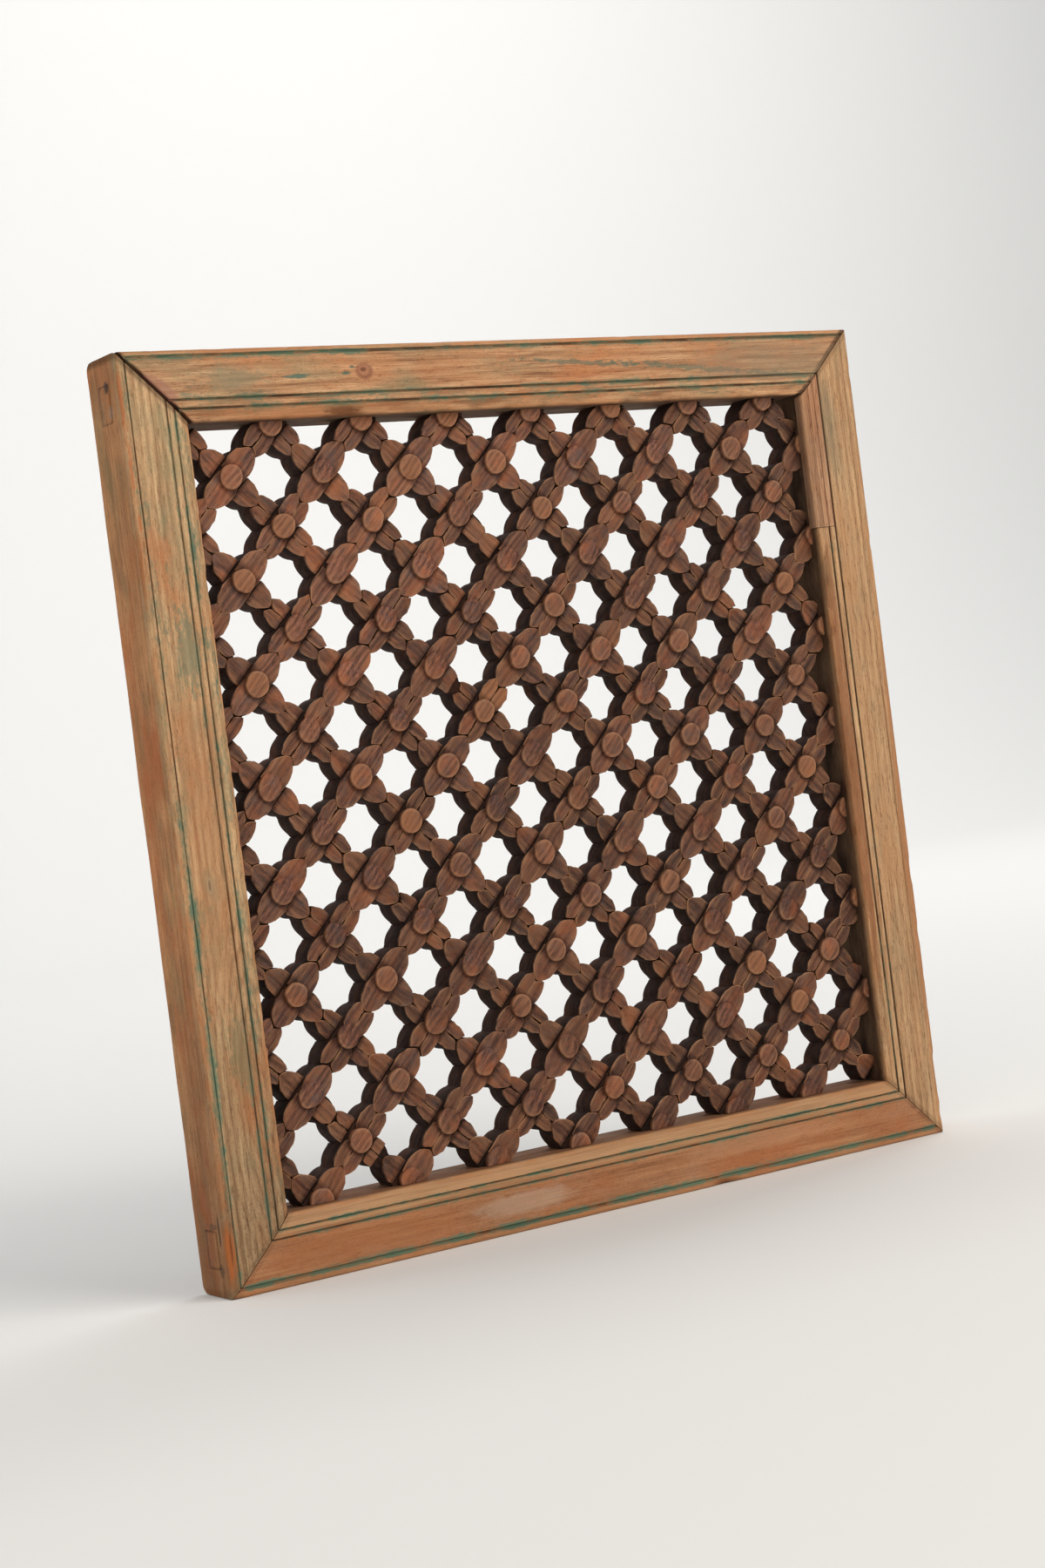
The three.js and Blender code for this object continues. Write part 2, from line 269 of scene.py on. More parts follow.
# Old hardwood, planed and carved by hand, oiled by handling and dulled by dust: long streaks and
# rings along the grain, short dark pores, rubbed pale edges, black grime and painted shade in the hollows,
# and on the frame what is left of a green paint. Attributes of the mesh say where each of these lies.
def oldTimber(name, look):
    material = bpy.data.materials.new(name)
    material.use_nodes = True
    tree = material.node_tree
    tree.nodes.clear()
    add = partial(addNode, tree)
    place = add("TexCoord", output="Object")
    turned = add("Mapping", {}, {
        "Vector": place,
        "Rotation": (0, math.radians(look["grainTurn"]), 0),
        "Location": [part * mm for part in look["pith"]],
    })
    patterns = {
        "streak": (150, look["streakWidth"], 4),
        "fibre": (60, look["fibreWidth"], 3),
        "blotch": (*look["blotchSize"], 3),
        "film": (*look["filmSize"], 4),
        **timberPatterns,
    }
    drawn = {}
    for pattern, (length, width, detail) in patterns.items():
        scaled = add("VectorMath", {"operation": "MULTIPLY"},
                     {0: turned, 1: perMetre(length, width, width)})
        drawn[pattern] = add("TexNoise", {}, {
            "Vector": scaled, "Scale": 1, "Detail": detail, "Roughness": 0.6,
        })
    ring = add("TexWave", {"wave_type": "RINGS", "rings_direction": "X"}, {
        "Vector": turned,
        "Scale": math.pi / 10 / (look["ringSpacing"] * mm),
        "Distortion": 5.0,
        "Detail": 3,
        "Detail Scale": 0.6,
    }, "Fac")
    worn, grime, tone, gold, paint, russet = [
        add("Attribute", {"attribute_name": part}, {}, "Fac") for part in marksOfUse
    ]

    # figure of the wood, from streaks, fibres, rings and the arches where a plank cuts across rings
    figure = 0.5
    for pattern, strength in ((drawn["streak"], look["streakStrength"]),
                              (drawn["fibre"], look["fibreStrength"]), (ring, look["ringStrength"])):
        centred = add("Math", {"operation": "SUBTRACT"}, {0: pattern, 1: 0.5})
        figure = add("Math", {"operation": "MULTIPLY_ADD"}, {0: centred, 1: strength, 2: figure})
    for arch in look["arches"]:
        across, up = arch["at"]
        centre = (panelMiddle.x + across * mm, 0, panelMiddle.z + up * mm)
        local = add("VectorMath", {"operation": "SUBTRACT"}, {0: place, 1: centre})
        spacing = (arch["spacing"], arch["spacing"] * arch["stretch"])
        wide, high = spacing if look["grainTurn"] else spacing[::-1]
        local = add("VectorMath", {"operation": "MULTIPLY"},
                    {0: local, 1: (1 / (wide * mm), 0, 1 / (high * mm))})
        rings = add("VectorMath", {"operation": "LENGTH"}, {0: local}, "Value")
        wavering = add("Math", {"operation": "MULTIPLY_ADD"},
                       {0: drawn["streak"], 1: timberLook["archWaver"], 2: rings})
        turns = add("Math", {"operation": "MULTIPLY"}, {0: wavering, 1: math.tau})
        wave = add("Math", {"operation": "SINE"}, {0: turns})
        lines = add("MapRange", {}, {"Value": wave, "From Min": 0.2, "From Max": 1.0})
        fade = add("MapRange", {}, {
            "Value": rings, "From Min": arch["rings"], "From Max": arch["rings"] * 0.5,
            "To Max": arch["strength"],
        })
        lines = add("Math", {"operation": "MULTIPLY"}, {0: lines, 1: fade})
        figure = add("Math", {"operation": "SUBTRACT"}, {0: figure, 1: lines})
    woods = []
    for places in (timberLook["figure"], timberLook["goldFigure"]):
        stops = [(at, linear(look[part])) for part, at in places.items()]
        woods.append(add("ValToRGB", {"stops": stops}, {"Fac": figure}))
    colour, goldWood = woods
    masks = {}
    for layer, (start, full, blend) in timberLayers.items():
        masks[layer] = add("MapRange", {}, {
            "Value": drawn[layer], "From Min": start, "From Max": full, "To Max": look[layer + "Strength"],
        })
        colour = add("MixRGB", {"blend_type": blend},
                     {"Fac": masks[layer], "Color1": colour, "Color2": linear(look[layer])})
    shade = add("Math", {"operation": "ADD"}, {0: tone, 1: 1.0 - look["gritStrength"] / 2})
    shade = add("Math", {"operation": "MULTIPLY_ADD"},
                {0: drawn["grit"], 1: look["gritStrength"], 2: shade})
    for blend, amount, tint in (("MULTIPLY", 1, shade), ("MULTIPLY", russet, linear(timberLook["russet"])),
                                ("MIX", gold, goldWood)):
        colour = add("MixRGB", {"blend_type": blend}, {"Fac": amount, "Color1": colour, "Color2": tint})

    # edges rubbed pale and broken up along the grain, grime together with painted shade, and paint
    # that is full where its attribute is high and flaked where it is low
    rubbed = add("MapRange", {}, {
        "Value": drawn["rub"], "From Min": look["rubFrom"], "From Max": look["rubTo"],
    })
    rimOnly = add("Math", {"operation": "POWER"}, {0: worn, 1: timberLook["rimPower"]})
    wearMask = add("Math", {"operation": "MULTIPLY"}, {0: rimOnly, 1: rubbed})
    dusty = add("MapRange", {}, {
        "Value": drawn["film"], "From Min": 0.3, "From Max": 0.7, "To Min": 1.1, "To Max": 0.75,
    })
    # this mask is grime and painted shade: hollows, crevices and faces turned from the light are darkened
    grimeAndShadeMask = add("Math", {"operation": "MULTIPLY", "use_clamp": True}, {0: grime, 1: dusty})
    flaked = add("Math", {"operation": "ADD"}, {0: paint, 1: drawn["flake"]})
    paintMask = add("MapRange", {}, {
        "Value": flaked, "From Min": timberLook["paintFrom"], "From Max": timberLook["paintTo"],
    })
    green = add("MixRGB", {}, {
        "Fac": drawn["streak"], "Color1": linear(timberLook["paintDark"]),
        "Color2": linear(timberLook["paintLight"]),
    })
    for mask, tint in ((wearMask, linear(look["worn"])), (grimeAndShadeMask, linear(look["grime"])),
                       (paintMask, green)):
        colour = add("MixRGB", {}, {"Fac": mask, "Color1": colour, "Color2": tint})

    # knots, stains, a nail and dabs of paint, each an egg shape in the wood with a ragged edge
    for across, up, wide, high, tint, edge, ragged, strength, *more in look["marks"]:
        more = more[0] if more else {}
        centre = (panelMiddle.x + across * mm, cadLow.y + more.get("back", 0) * mm,
                  panelMiddle.z + up * mm)
        local = add("VectorMath", {"operation": "SUBTRACT"}, {0: place, 1: centre})
        local = add("Mapping", {"vector_type": "TEXTURE"}, {
            "Vector": local, "Rotation": (0, math.radians(-more.get("turn", 0)), 0),
            "Scale": (wide * mm, more.get("deep", timberLook["markDepth"]) * mm, high * mm),
        })
        reach = add("VectorMath", {"operation": "LENGTH"}, {0: local}, "Value")
        raggedReach = add("Math", {"operation": "MULTIPLY_ADD"}, {0: drawn[edge], 1: ragged, 2: reach})
        outer = 1.0 + ragged / 2
        mask = add("MapRange", {}, {
            "Value": raggedReach, "From Min": outer, "From Max": outer - timberLook["markEdge"],
            "To Max": strength,
        })
        colour = add("MixRGB", {}, {"Fac": mask, "Color1": colour, "Color2": linear(tint)})

    # the surface: ridged along the grain, pores sunk, paint a little proud
    height = figure
    for mask, rise in ((masks["pore"], timberLook["poreSunk"]), (paintMask, timberLook["paintProud"])):
        height = add("Math", {"operation": "MULTIPLY_ADD"}, {0: mask, 1: rise, 2: height})
    bump = add("Bump", {}, {
        "Strength": look["ridges"], "Distance": timberLook["relief"] * mm, "Height": height,
    })
    roughness = add("MapRange", {}, {
        "Value": drawn["rub"], "From Min": 0.3, "From Max": 0.7,
        "To Min": look["gloss"], "To Max": look["gloss"] + timberLook["glossRange"],
    })
    roughness = add("Math", {"operation": "MULTIPLY_ADD", "use_clamp": True},
                    {0: grime, 1: timberLook["grimeRoughness"], 2: roughness})
    shader = add("BsdfPrincipled", {}, {
        "Base Color": colour, "Roughness": roughness, "Normal": bump, "IOR": 1.5,
        "Specular IOR Level": look["specular"],
    })
    add("OutputMaterial", {}, {"Surface": shader})
    return material


scratchMesh = bpy.data.meshes.new("scratch")


def newShape():
    bm = bmesh.new()
    for part in marksOfUse:
        bm.verts.layers.float.new(part)
    return bm


def joinShape(target, shape):
    scratchMesh.clear_geometry()
    shape.to_mesh(scratchMesh)
    shape.free()
    target.from_mesh(scratchMesh)


def roundEdges(bm, geom, offset, segments):
    bmesh.ops.bevel(bm, geom=geom, offset=offset, offset_type="OFFSET", segments=segments, profile=0.5,
                    affect="EDGES", clamp_overlap=True, material=-1)


def finishPiece(bm, name, material, crease):
    bmesh.ops.recalc_face_normals(bm, faces=bm.faces[:])
    mesh = bpy.data.meshes.new(name)
    bm.to_mesh(mesh)
    bm.free()
    mesh.shade_smooth()
    mesh.set_sharp_from_angle(angle=math.radians(crease))
    mesh.materials.append(material)
    piece = bpy.data.objects.new(name + "_carved", mesh)
    scene.collection.objects.link(piece)
    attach(piece, "root")
    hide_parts(name)


# frame members: one moulding, mitred, each with its own wear. Along a member, a point is given by
# its run from the middle and its reach inwards from the outer edge, in mm.
moulding = {
    "face": 47.0,
    "roundOver": 2.4,
    "bead": 4.6,
    "beadGroove": 2.7,
    "fillet": 31.4,
    "filletWidth": 4.2,
    "filletGroove": 1.9,
    "grooveDepth": 1.6,
    "beadDepth": 1.6,
    "innerFall": 1.6,
    "lip": 1.6,
    "endCorner": 7.0,
    "cuts": 210,
    "sideSteps": 9,
    "fieldSteps": 7,
    "roundSteps": 3,
    "filletCrown": 0.05,
    "bandSteps": (0.35, 0.7),
    "grooveSteps": (0.0, 0.12, 0.32, 0.5, 0.68, 0.88, 1.0),
    "grooveFullness": 0.7,
    "crease": 38,  # degrees, an edge sharper than this stays sharp
}
touch = 0.05  # mm, points nearer than this to an edge lie on it
frameDepth = (cadHigh.y - cadLow.y) / mm


def grooveSteps(start, width, depth):
    return [(start + width * part, depth * math.sin(math.pi * part) ** moulding["grooveFullness"])
            for part in moulding["grooveSteps"]]


def mouldingProfile(m):
    filletEnd = m["fillet"] + m["filletGroove"] + m["filletWidth"]
    bandStart = filletEnd + m["filletGroove"]
    fieldStart = m["bead"] + m["beadGroove"]
    sideStart = m["innerFall"] + m["lip"]
    turns = [math.pi / 2 * k / m["roundSteps"] for k in range(m["roundSteps"] + 1)]
    points = []
    for turn in turns:
        points.append((m["roundOver"] * (1 - math.cos(turn)), m["roundOver"] * (1 - math.sin(turn))))
    points += grooveSteps(m["bead"], m["beadGroove"], m["beadDepth"])
    for k in range(1, m["fieldSteps"]):
        points.append((fieldStart + (m["fillet"] - fieldStart) * k / m["fieldSteps"], 0))
    points += grooveSteps(m["fillet"], m["filletGroove"], m["grooveDepth"])
    points.append((filletEnd - m["filletWidth"] / 2, -m["filletCrown"]))
    points += grooveSteps(filletEnd, m["filletGroove"], m["grooveDepth"])
    for part in m["bandSteps"]:
        points.append((bandStart + (m["face"] - m["lip"] - bandStart) * part, m["innerFall"] * part))
    for turn in turns:
        points.append((m["face"] - m["lip"] * (1 - math.sin(turn)),
                       m["innerFall"] + m["lip"] * (1 - math.cos(turn))))
    for k in range(1, m["sideSteps"] + 1):
        points.append((m["face"], sideStart + (frameDepth - sideStart) * k / m["sideSteps"]))
    for k in range(m["sideSteps"]):
        points.append((0, frameDepth - (frameDepth - m["roundOver"]) * k / m["sideSteps"]))
    return points


def smoothStep(low, high, value):
    part = min(max((value - low) / (high - low), 0), 1)
    return part * part * (3 - 2 * part)


def inGroove(m, reach):
    filletEnd = m["fillet"] + m["filletGroove"] + m["filletWidth"]
    for start, width in ((m["bead"], m["beadGroove"]), (m["fillet"], m["filletGroove"]),
                         (filletEnd, m["filletGroove"])):
        if start - touch <= reach <= start + width + touch:
            return True
    return False


# A profile drawn along a member, its two ends cut to the mitre or square
def drawnMember(profile, startGap, endGap, startRun, endRun, cuts):
    bm = newShape()
    corners = [bm.verts.new((0, back, reach)) for reach, back in profile]
    section = bm.faces.new(corners)
    grown = bmesh.ops.extrude_face_region(bm, geom=[section])["geom"]
    bmesh.ops.translate(bm, vec=(1, 0, 0), verts=vertsOf(grown))
    lengthwise = [e for e in bm.edges if abs(e.verts[0].co.x - e.verts[1].co.x) > 0.5]
    bmesh.ops.subdivide_edges(bm, edges=lengthwise, cuts=cuts)
    for v in bm.verts:
        start = startRun if startGap is None else startRun + v.co.z + startGap
        end = endRun if endGap is None else endRun - v.co.z - endGap
        v.co.x = start + (end - start) * v.co.x
    return bm


tenon = {
    "height": 25.0,
    "thickness": 16.0,
    "fromEnd": 31.0,
    "short": 0.05,
    "length": 40.0,
    "fit": 0.04,
    "edge": 0.05,
    "mouthDepth": 4.0,
    "around": 12.0,  # how far from a mouth faces are cut
    "sideReach": 1.5,  # faces this near the outer edge belong to the side
}
memberWear = {
    "slowWaves": (70, 40),  # mm along a member and across it
    "quickWaves": (9, 5),
    "sideWaves": (45, 1),
    "paintPatches": (24, 6),
    "frontShare": 0.2,  # of the depth
    "slowTone": 0.1,
    "lowEnd": (-260, -40),  # the stretch over which a member darkens towards its start
    "grooveFrom": 0.25,
    "grooveGrimeAndShade": (0.15, 1.0),
    "mitreDirt": 3.5,
    "rims": [
        {"wear": "outerWear", "width": 2.6, "deep": 4.0, "dents": (17, 1), "layer": 3.1, "least": 0.2,
         "in": 0.8, "back": 0.8, "rubbed": 0.55, "uneven": 0.3},
        {"wear": "innerWear", "width": 2.2, "deep": 6.0, "dents": (10, 1), "layer": 9.4, "least": 0.1,
         "in": -0.9, "back": 0.5, "rubbed": 0.7, "uneven": 0},
    ],
    "sideFrom": 4.0,
    "sideUneven": (0.35, 0.12),  # slow and quick
    "trueAtTenon": (14, 28),  # the side is kept flat near a tenon
    "cornerReach": 3,
    "frontUneven": (0.16, 0.05),
    "flatFront": (3, 2),  # from the outer and the inner edge
    "arrisBand": 16,
    "arrisEnds": 6,
    "arrisFull": 0.25,
    "arrisUneven": (1.5, 2.5),
    "pale": (0.7, 0.25),
    "paleDeep": 6.0,
    "chipUneven": (0.75, 0.5),
    "chipIn": 0.8,
    "chipRim": 2.5,
    "chipDeep": 3,
    "paintEnds": 8,
    "paintUneven": 0.55,
    "paintFull": 0.5,
    "grimeAndShadeUnderPaint": 0.35,
}


# 1 between two places along a member and 0 outside, with soft ends
def within(start, end, soft, run):
    return smoothStep(start - soft, start + soft, run) * (1 - smoothStep(end - soft, end + soft, run))


# Sets marks of use on a member and moves its surface: worn corners, chips, slow waves, grime, and
# painted shade in the grooves and on the inner faces
def wearMember(bm, look, seed):
    wear, grime, tone, gold, paint, russet = [bm.verts.layers.float[part] for part in marksOfUse]
    form, use = {**moulding, **look["moulding"]}, memberWear
    halfLength = max(v.co.x for v in bm.verts)
    face, corner = form["face"], form["endCorner"]

    def waves(run, reach, size, layer):
        return noise.noise(Vector((run / size[0], reach / size[1], layer)))

    def uneven(amounts, slow, quick):
        return amounts[0] * slow + amounts[1] * quick

    for v in bm.verts:
        run, back, reach = v.co
        front = back < frameDepth * use["frontShare"]
        slow = waves(run, reach, use["slowWaves"], seed)
        quick = waves(run, reach, use["quickWaves"], seed + 7)
        groove = front and inGroove(form, reach) and back > use["grooveFrom"]
        v[tone] = use["slowTone"] * slow + look["lowTone"] * (1 - smoothStep(*use["lowEnd"], run))
        # grooves darker the deeper they go: grime, and painted shade in the hollow
        if groove:
            v[grime] = look["grooveGrimeAndShade"] * smoothStep(*use["grooveGrimeAndShade"], back)
        if halfLength - reach - abs(run) < use["mitreDirt"]:
            v[grime] = max(v[grime], look["endGrime"][0 if run < 0 else 1])
        for rim, fromEdge in zip(use["rims"], (reach, face - reach)):
            if fromEdge < rim["width"] and back < rim["deep"]:
                dent = max(0, waves(run, rim["layer"], rim["dents"], seed) - rim["least"])
                dent *= look[rim["wear"]]
                v.co.z += dent * rim["in"]
                v.co.y += dent * rim["back"]
                v[wear] = rim["rubbed"] + rim["uneven"] * slow
        # the inner face darkened: grime, and painted shade set member by member for how the face turns
        # from the light
        if reach > face - touch and back > use["sideFrom"]:
            v[grime] = look["innerGrimeAndShade"]
        # the outer side: its tone moved a little lighter or darker as painted light, tinted russet, and
        # waved
        if reach < touch and back > use["sideFrom"]:
            v[tone] += look["sideToneAndPaintedLight"]
            v[russet] = look["sideRusset"]
            fromTenon = abs(halfLength - abs(run) - tenon["fromEnd"])
            swell = uneven(use["sideUneven"], slow, quick)
            swell += look["sideWave"] * waves(run, 1, use["sideWaves"], seed)
            v.co.z += swell * smoothStep(*use["trueAtTenon"], fromTenon)

        # the two corners at the back are worn round
        toEnd = halfLength - abs(run) if reach < use["cornerReach"] else frameDepth
        toBack = frameDepth - back
        if toEnd < corner and toBack < corner:
            out = math.hypot(corner - toEnd, corner - toBack) / corner
            if out > 1:
                v.co.x = math.copysign(halfLength - corner + (corner - toEnd) / out, run)
                v.co.y = frameDepth - corner + (corner - toBack) / out
        if front and not groove and use["flatFront"][0] < reach < face - use["flatFront"][1]:
            v.co.y += uneven(use["frontUneven"], slow, quick)
        for start, end, width, strength in look["arris"]:
            if max(reach, back) < use["arrisBand"]:
                fromArris = max(reach, back) + uneven(use["arrisUneven"], slow, quick)
                spread = 1 - smoothStep(use["arrisFull"] * width, width, fromArris)
                v[gold] = max(v[gold], strength * within(start, end, use["arrisEnds"], run) * spread)
        if look["pale"] and reach > look["pale"] and back < use["paleDeep"]:
            v[gold] = max(v[gold], use["pale"][0] + use["pale"][1] * slow)
        for chipRun, chipReach, half, wide, depth, dirt in look["chips"]:
            near, aside = abs(run - chipRun) / half, abs(reach - chipReach) / wide
            if near < 1 and aside < 1 and back < depth * use["chipDeep"]:
                bite = (1 - near ** 2) * (1 - aside ** 2)
                bite *= use["chipUneven"][0] + use["chipUneven"][1] * quick
                v.co.y += depth * bite
                if chipReach > face / 2 and reach > face - use["chipRim"]:
                    v.co.z -= depth * use["chipIn"] * bite
                v[grime] = max(v[grime], dirt * bite)
                v[wear] *= 1 - bite
        for nearest, furthest, start, end, amount in look["paint"]:
            if nearest <= reach <= furthest and front:
                patchy = 1 + use["paintUneven"] * waves(run, reach, use["paintPatches"], seed + 3)
                v[paint] = max(v[paint], amount * patchy * within(start, end, use["paintEnds"], run))
                if v[paint] > use["paintFull"]:
                    v[grime] *= use["grimeAndShadeUnderPaint"]


def standMember(bm, side):
    turn = {"top": 0, "bottom": math.pi, "left": -math.pi / 2, "right": math.pi / 2}[side]
    reachOut = (cadHigh.z - cadLow.z) / 2 if side in ("top", "bottom") else (cadHigh.x - cadLow.x) / 2
    for v in bm.verts:
        run, back, reach = v.co
        v.co = (run * mm, back * mm, reachOut - reach * mm)
    place = Matrix.Translation((panelMiddle.x, cadLow.y, panelMiddle.z)) @ Matrix.Rotation(turn, 4, "Y")
    bmesh.ops.transform(bm, matrix=place, verts=bm.verts[:])


# A tenon block on a rail, its end grain dark with dirt
def tenonBlock(runEnd, direction, dirt):
    shape = newShape()
    bmesh.ops.create_cube(shape, size=1)
    middle = runEnd - direction * (tenon["short"] + tenon["length"] / 2)
    size = (tenon["length"], tenon["thickness"], tenon["height"])
    bmesh.ops.scale(shape, vec=size, verts=shape.verts[:])
    roundEdges(shape, shape.edges[:], tenon["edge"], 2)
    bmesh.ops.translate(shape, vec=(middle, frameDepth / 2, tenon["fromEnd"]), verts=shape.verts[:])
    grime = shape.verts.layers.float["grime"]
    for v in shape.verts:
        v[grime] = dirt
    return shape


# The mortise's mouth on the outer side of a stile, dark inside
def cutMortise(bm, runMiddle, dirt):
    half = tenon["height"] / 2 + tenon["fit"]
    front = (frameDepth - tenon["thickness"]) / 2 - tenon["fit"]
    back = (frameDepth + tenon["thickness"]) / 2 + tenon["fit"]
    for place, across in (((runMiddle - half, 0, 0), (1, 0, 0)), ((runMiddle + half, 0, 0), (1, 0, 0)),
                          ((0, front, 0), (0, 1, 0)), ((0, back, 0), (0, 1, 0))):
        near = [f for f in bm.faces if abs(f.calc_center_median().x - runMiddle) < half + tenon["around"]
                and f.calc_center_median().z < tenon["sideReach"]]
        geom = set(near)
        for f in near:
            geom.update(f.edges)
            geom.update(f.verts)
        bmesh.ops.bisect_plane(bm, geom=list(geom), plane_co=place, plane_no=across, dist=0.0001)
    mouth = []
    for f in bm.faces:
        spot = f.calc_center_median()
        if abs(spot.x - runMiddle) < half and front < spot.y < back and spot.z < tenon["sideReach"]:
            mouth.append(f)
    floor = vertsOf(bmesh.ops.extrude_face_region(bm, geom=mouth)["geom"])
    bmesh.ops.translate(bm, vec=(0, 0, tenon["mouthDepth"]), verts=floor)
    grime = bm.verts.layers.float["grime"]
    for v in floor:
        v[grime] = dirt


# Each member: its joints, its wear, where paint is left, and its timber. In mm, seen from the front:
# arris: run from and to, width, strength
# chips: run, reach, half length, half width, depth, grime
# paint: reach from and to, run from and to, amount
# marks: right and up from the panel's middle, two half sizes, colour, pattern of the edge, how ragged,
# strength, and where needed a turn in degrees, a place further back and a depth
# What most of them share comes first.
plankTimber = {
    "rubFrom": 0.35, "rubTo": 0.62, "blotchSize": (90, 38), "arches": [], "grainTurn": 90,
    "fibreWidth": 1.1, "fibreStrength": 0.4, "ringStrength": 0.08, "gritStrength": 0.6,
    "blotchStrength": 0.85, "filmSize": (46, 17), "pore": "#7d6044", "poreStrength": 0.4, "ridges": 0.35,
    "gloss": 0.6, "specular": 0.22, "marks": [],
}
plankMember = {
    "startGap": 0.3, "endGap": 0.3, "moulding": {}, "lowTone": 0, "arris": [], "pale": None, "chips": [],
    "paint": [], "tenonDirt": 0, "mouthDirt": (0, 0),
}
topRail = {
    **plankMember,
    "node": "top_rail", "slot": "rail_timber", "side": "top", "seed": 1.3, "startGap": 3.0, "endGap": 0.7,
    "moulding": {"bead": 2.9, "beadGroove": 2.3, "roundOver": 1.8}, "endGrime": (1.0, 0.8),
    "grooveGrimeAndShade": 0.75, "tenonDirt": 0.04, "outerWear": 0.7, "innerWear": 1.6, "innerGrimeAndShade": 0.78,
    "sideToneAndPaintedLight": -0.05, "sideWave": 0.3, "sideRusset": 0.3, "arris": [(-300, 300, 4, 0.3)],
    "chips": [
        (-138, 46, 18, 6, 2.4, 0.9),
        (96, 46, 9, 4, 1.2, 0.4),
    ],
    "paint": [
        (2.2, 5.5, -298, -110, 0.66), (2.2, 5.5, -110, 298, 0.53), (31.2, 33.5, -280, 270, 0.53),
        (37.4, 39.6, -270, 262, 0.55), (39.6, 45, -255, 250, 0.35), (33, 38, -270, 265, 0.3),
        (9, 30, -262, -190, 0.32),
    ],
    "timber": {
        **plankTimber,
        "arches": [{"at": (190, 262), "spacing": 5.0, "stretch": 14, "rings": 9, "strength": 0.1}],
        "grainTurn": 0, "pith": (0, 90, -330), "streakWidth": 6.0, "ringSpacing": 7.0,
        "streakStrength": 0.3, "dark": "#855b3c", "middle": "#b98c64", "light": "#dcb084",
        "blotch": "#ba774a", "film": "#87805f", "filmStrength": 0.65, "pore": "#7d5a40", "gold": "#bd7b4e",
        "goldDark": "#8f5a3c", "worn": "#c08a5e", "grime": "#33221a", "gloss": 0.55, "specular": 0.25,
        "marks": [
            (-119, 287, 7.6, 6.4, "#7d4a34", "rub", 0.7, 0.9),
            (-119, 287.4, 5.6, 4.6, "#ae7855", "rub", 0.7, 0.9),
            (-119.5, 288, 3.0, 1.9, "#74452f", "rub", 0.8, 0.9),
            (-133, 286, 5.0, 1.5, "#4f6455", "rub", 1.2, 0.9),
            (-128, 290, 2.2, 1.2, "#4f6455", "rub", 1.2, 0.8),
            (-219, 285, 26, 9, "#837d62", "flake", 2.4, 0.5),
            (-270, 280, 18, 7, "#9d6a58", "rub", 0.8, 0.6, {"turn": -40}),
            (-169, 285, 12, 1.8, "#566d5c", "flake", 2.0, 0.9),
            (-138, 261.6, 16, 3.0, "#2f2119", "flake", 1.5, 0.9),
            (60, 287, 60, 2.0, "#4d6453", "flake", 3.2, 0.6, {"turn": -4}),
            (150, 281, 70, 2.4, "#4d6453", "flake", 3.6, 0.6, {"turn": -5}),
            (225, 274, 30, 2.2, "#4d6453", "flake", 3.2, 0.6, {"turn": -5}),
            (225, 284, 80, 19, "#8d765d", "rub", 0.8, 0.5),
            (-150, 261.5, 130, 5, "#b07044", "fibre", 1.2, 0.45),
        ],
    },
}
bottomRail = {
    **plankMember,
    "node": "bottom_rail", "slot": "rail_timber", "side": "bottom", "seed": 5.9, "endGap": 0.5,
    "moulding": {"beadGroove": 2.4, "filletGroove": 1.4}, "endGrime": (0.35, 0.2), "grooveGrimeAndShade": 0.5,
    "tenonDirt": 0.22, "outerWear": 1.4, "innerWear": 0.8, "innerGrimeAndShade": 0.5, "sideToneAndPaintedLight": -0.05,
    "sideWave": 0.2, "sideRusset": 0.4, "arris": [(-300, 300, 5, 0.35)], "pale": 33.0,
    "chips": [(-96, 0.5, 16, 3.5, 1.6, 0.7)],
    "paint": [
        (4.2, 7.2, -296, 296, 0.68), (31.2, 33.0, -272, 272, 0.56), (36.8, 38.6, -268, 268, 0.6),
        (7, 12, -200, 230, 0.24),
    ],
    "timber": {
        **plankTimber,
        "grainTurn": 0, "pith": (40, 60, 345), "streakWidth": 8.0, "fibreWidth": 1.2, "ringSpacing": 9.0,
        "streakStrength": 0.36, "ringStrength": 0.06, "gritStrength": 0.55, "dark": "#835536",
        "middle": "#a5714b", "light": "#bb885f", "blotch": "#a8643a", "blotchStrength": 0.7,
        "film": "#a98870", "filmStrength": 0.25, "pore": "#7d5a40", "poreStrength": 0.25,
        "gold": "#bd946a", "goldDark": "#8c6643", "worn": "#b3784a", "grime": "#35241a", "ridges": 0.2,
        "gloss": 0.5, "specular": 0.25,
        "marks": [
            (-74, -285, 44, 9, "#bfa48c", "rub", 0.8, 0.45),
            (-200, -287, 85, 13, "#a06238", "blotch", 1.2, 0.4),
            (130, -280, 70, 8, "#b58a66", "rub", 0.8, 0.4),
        ],
    },
}
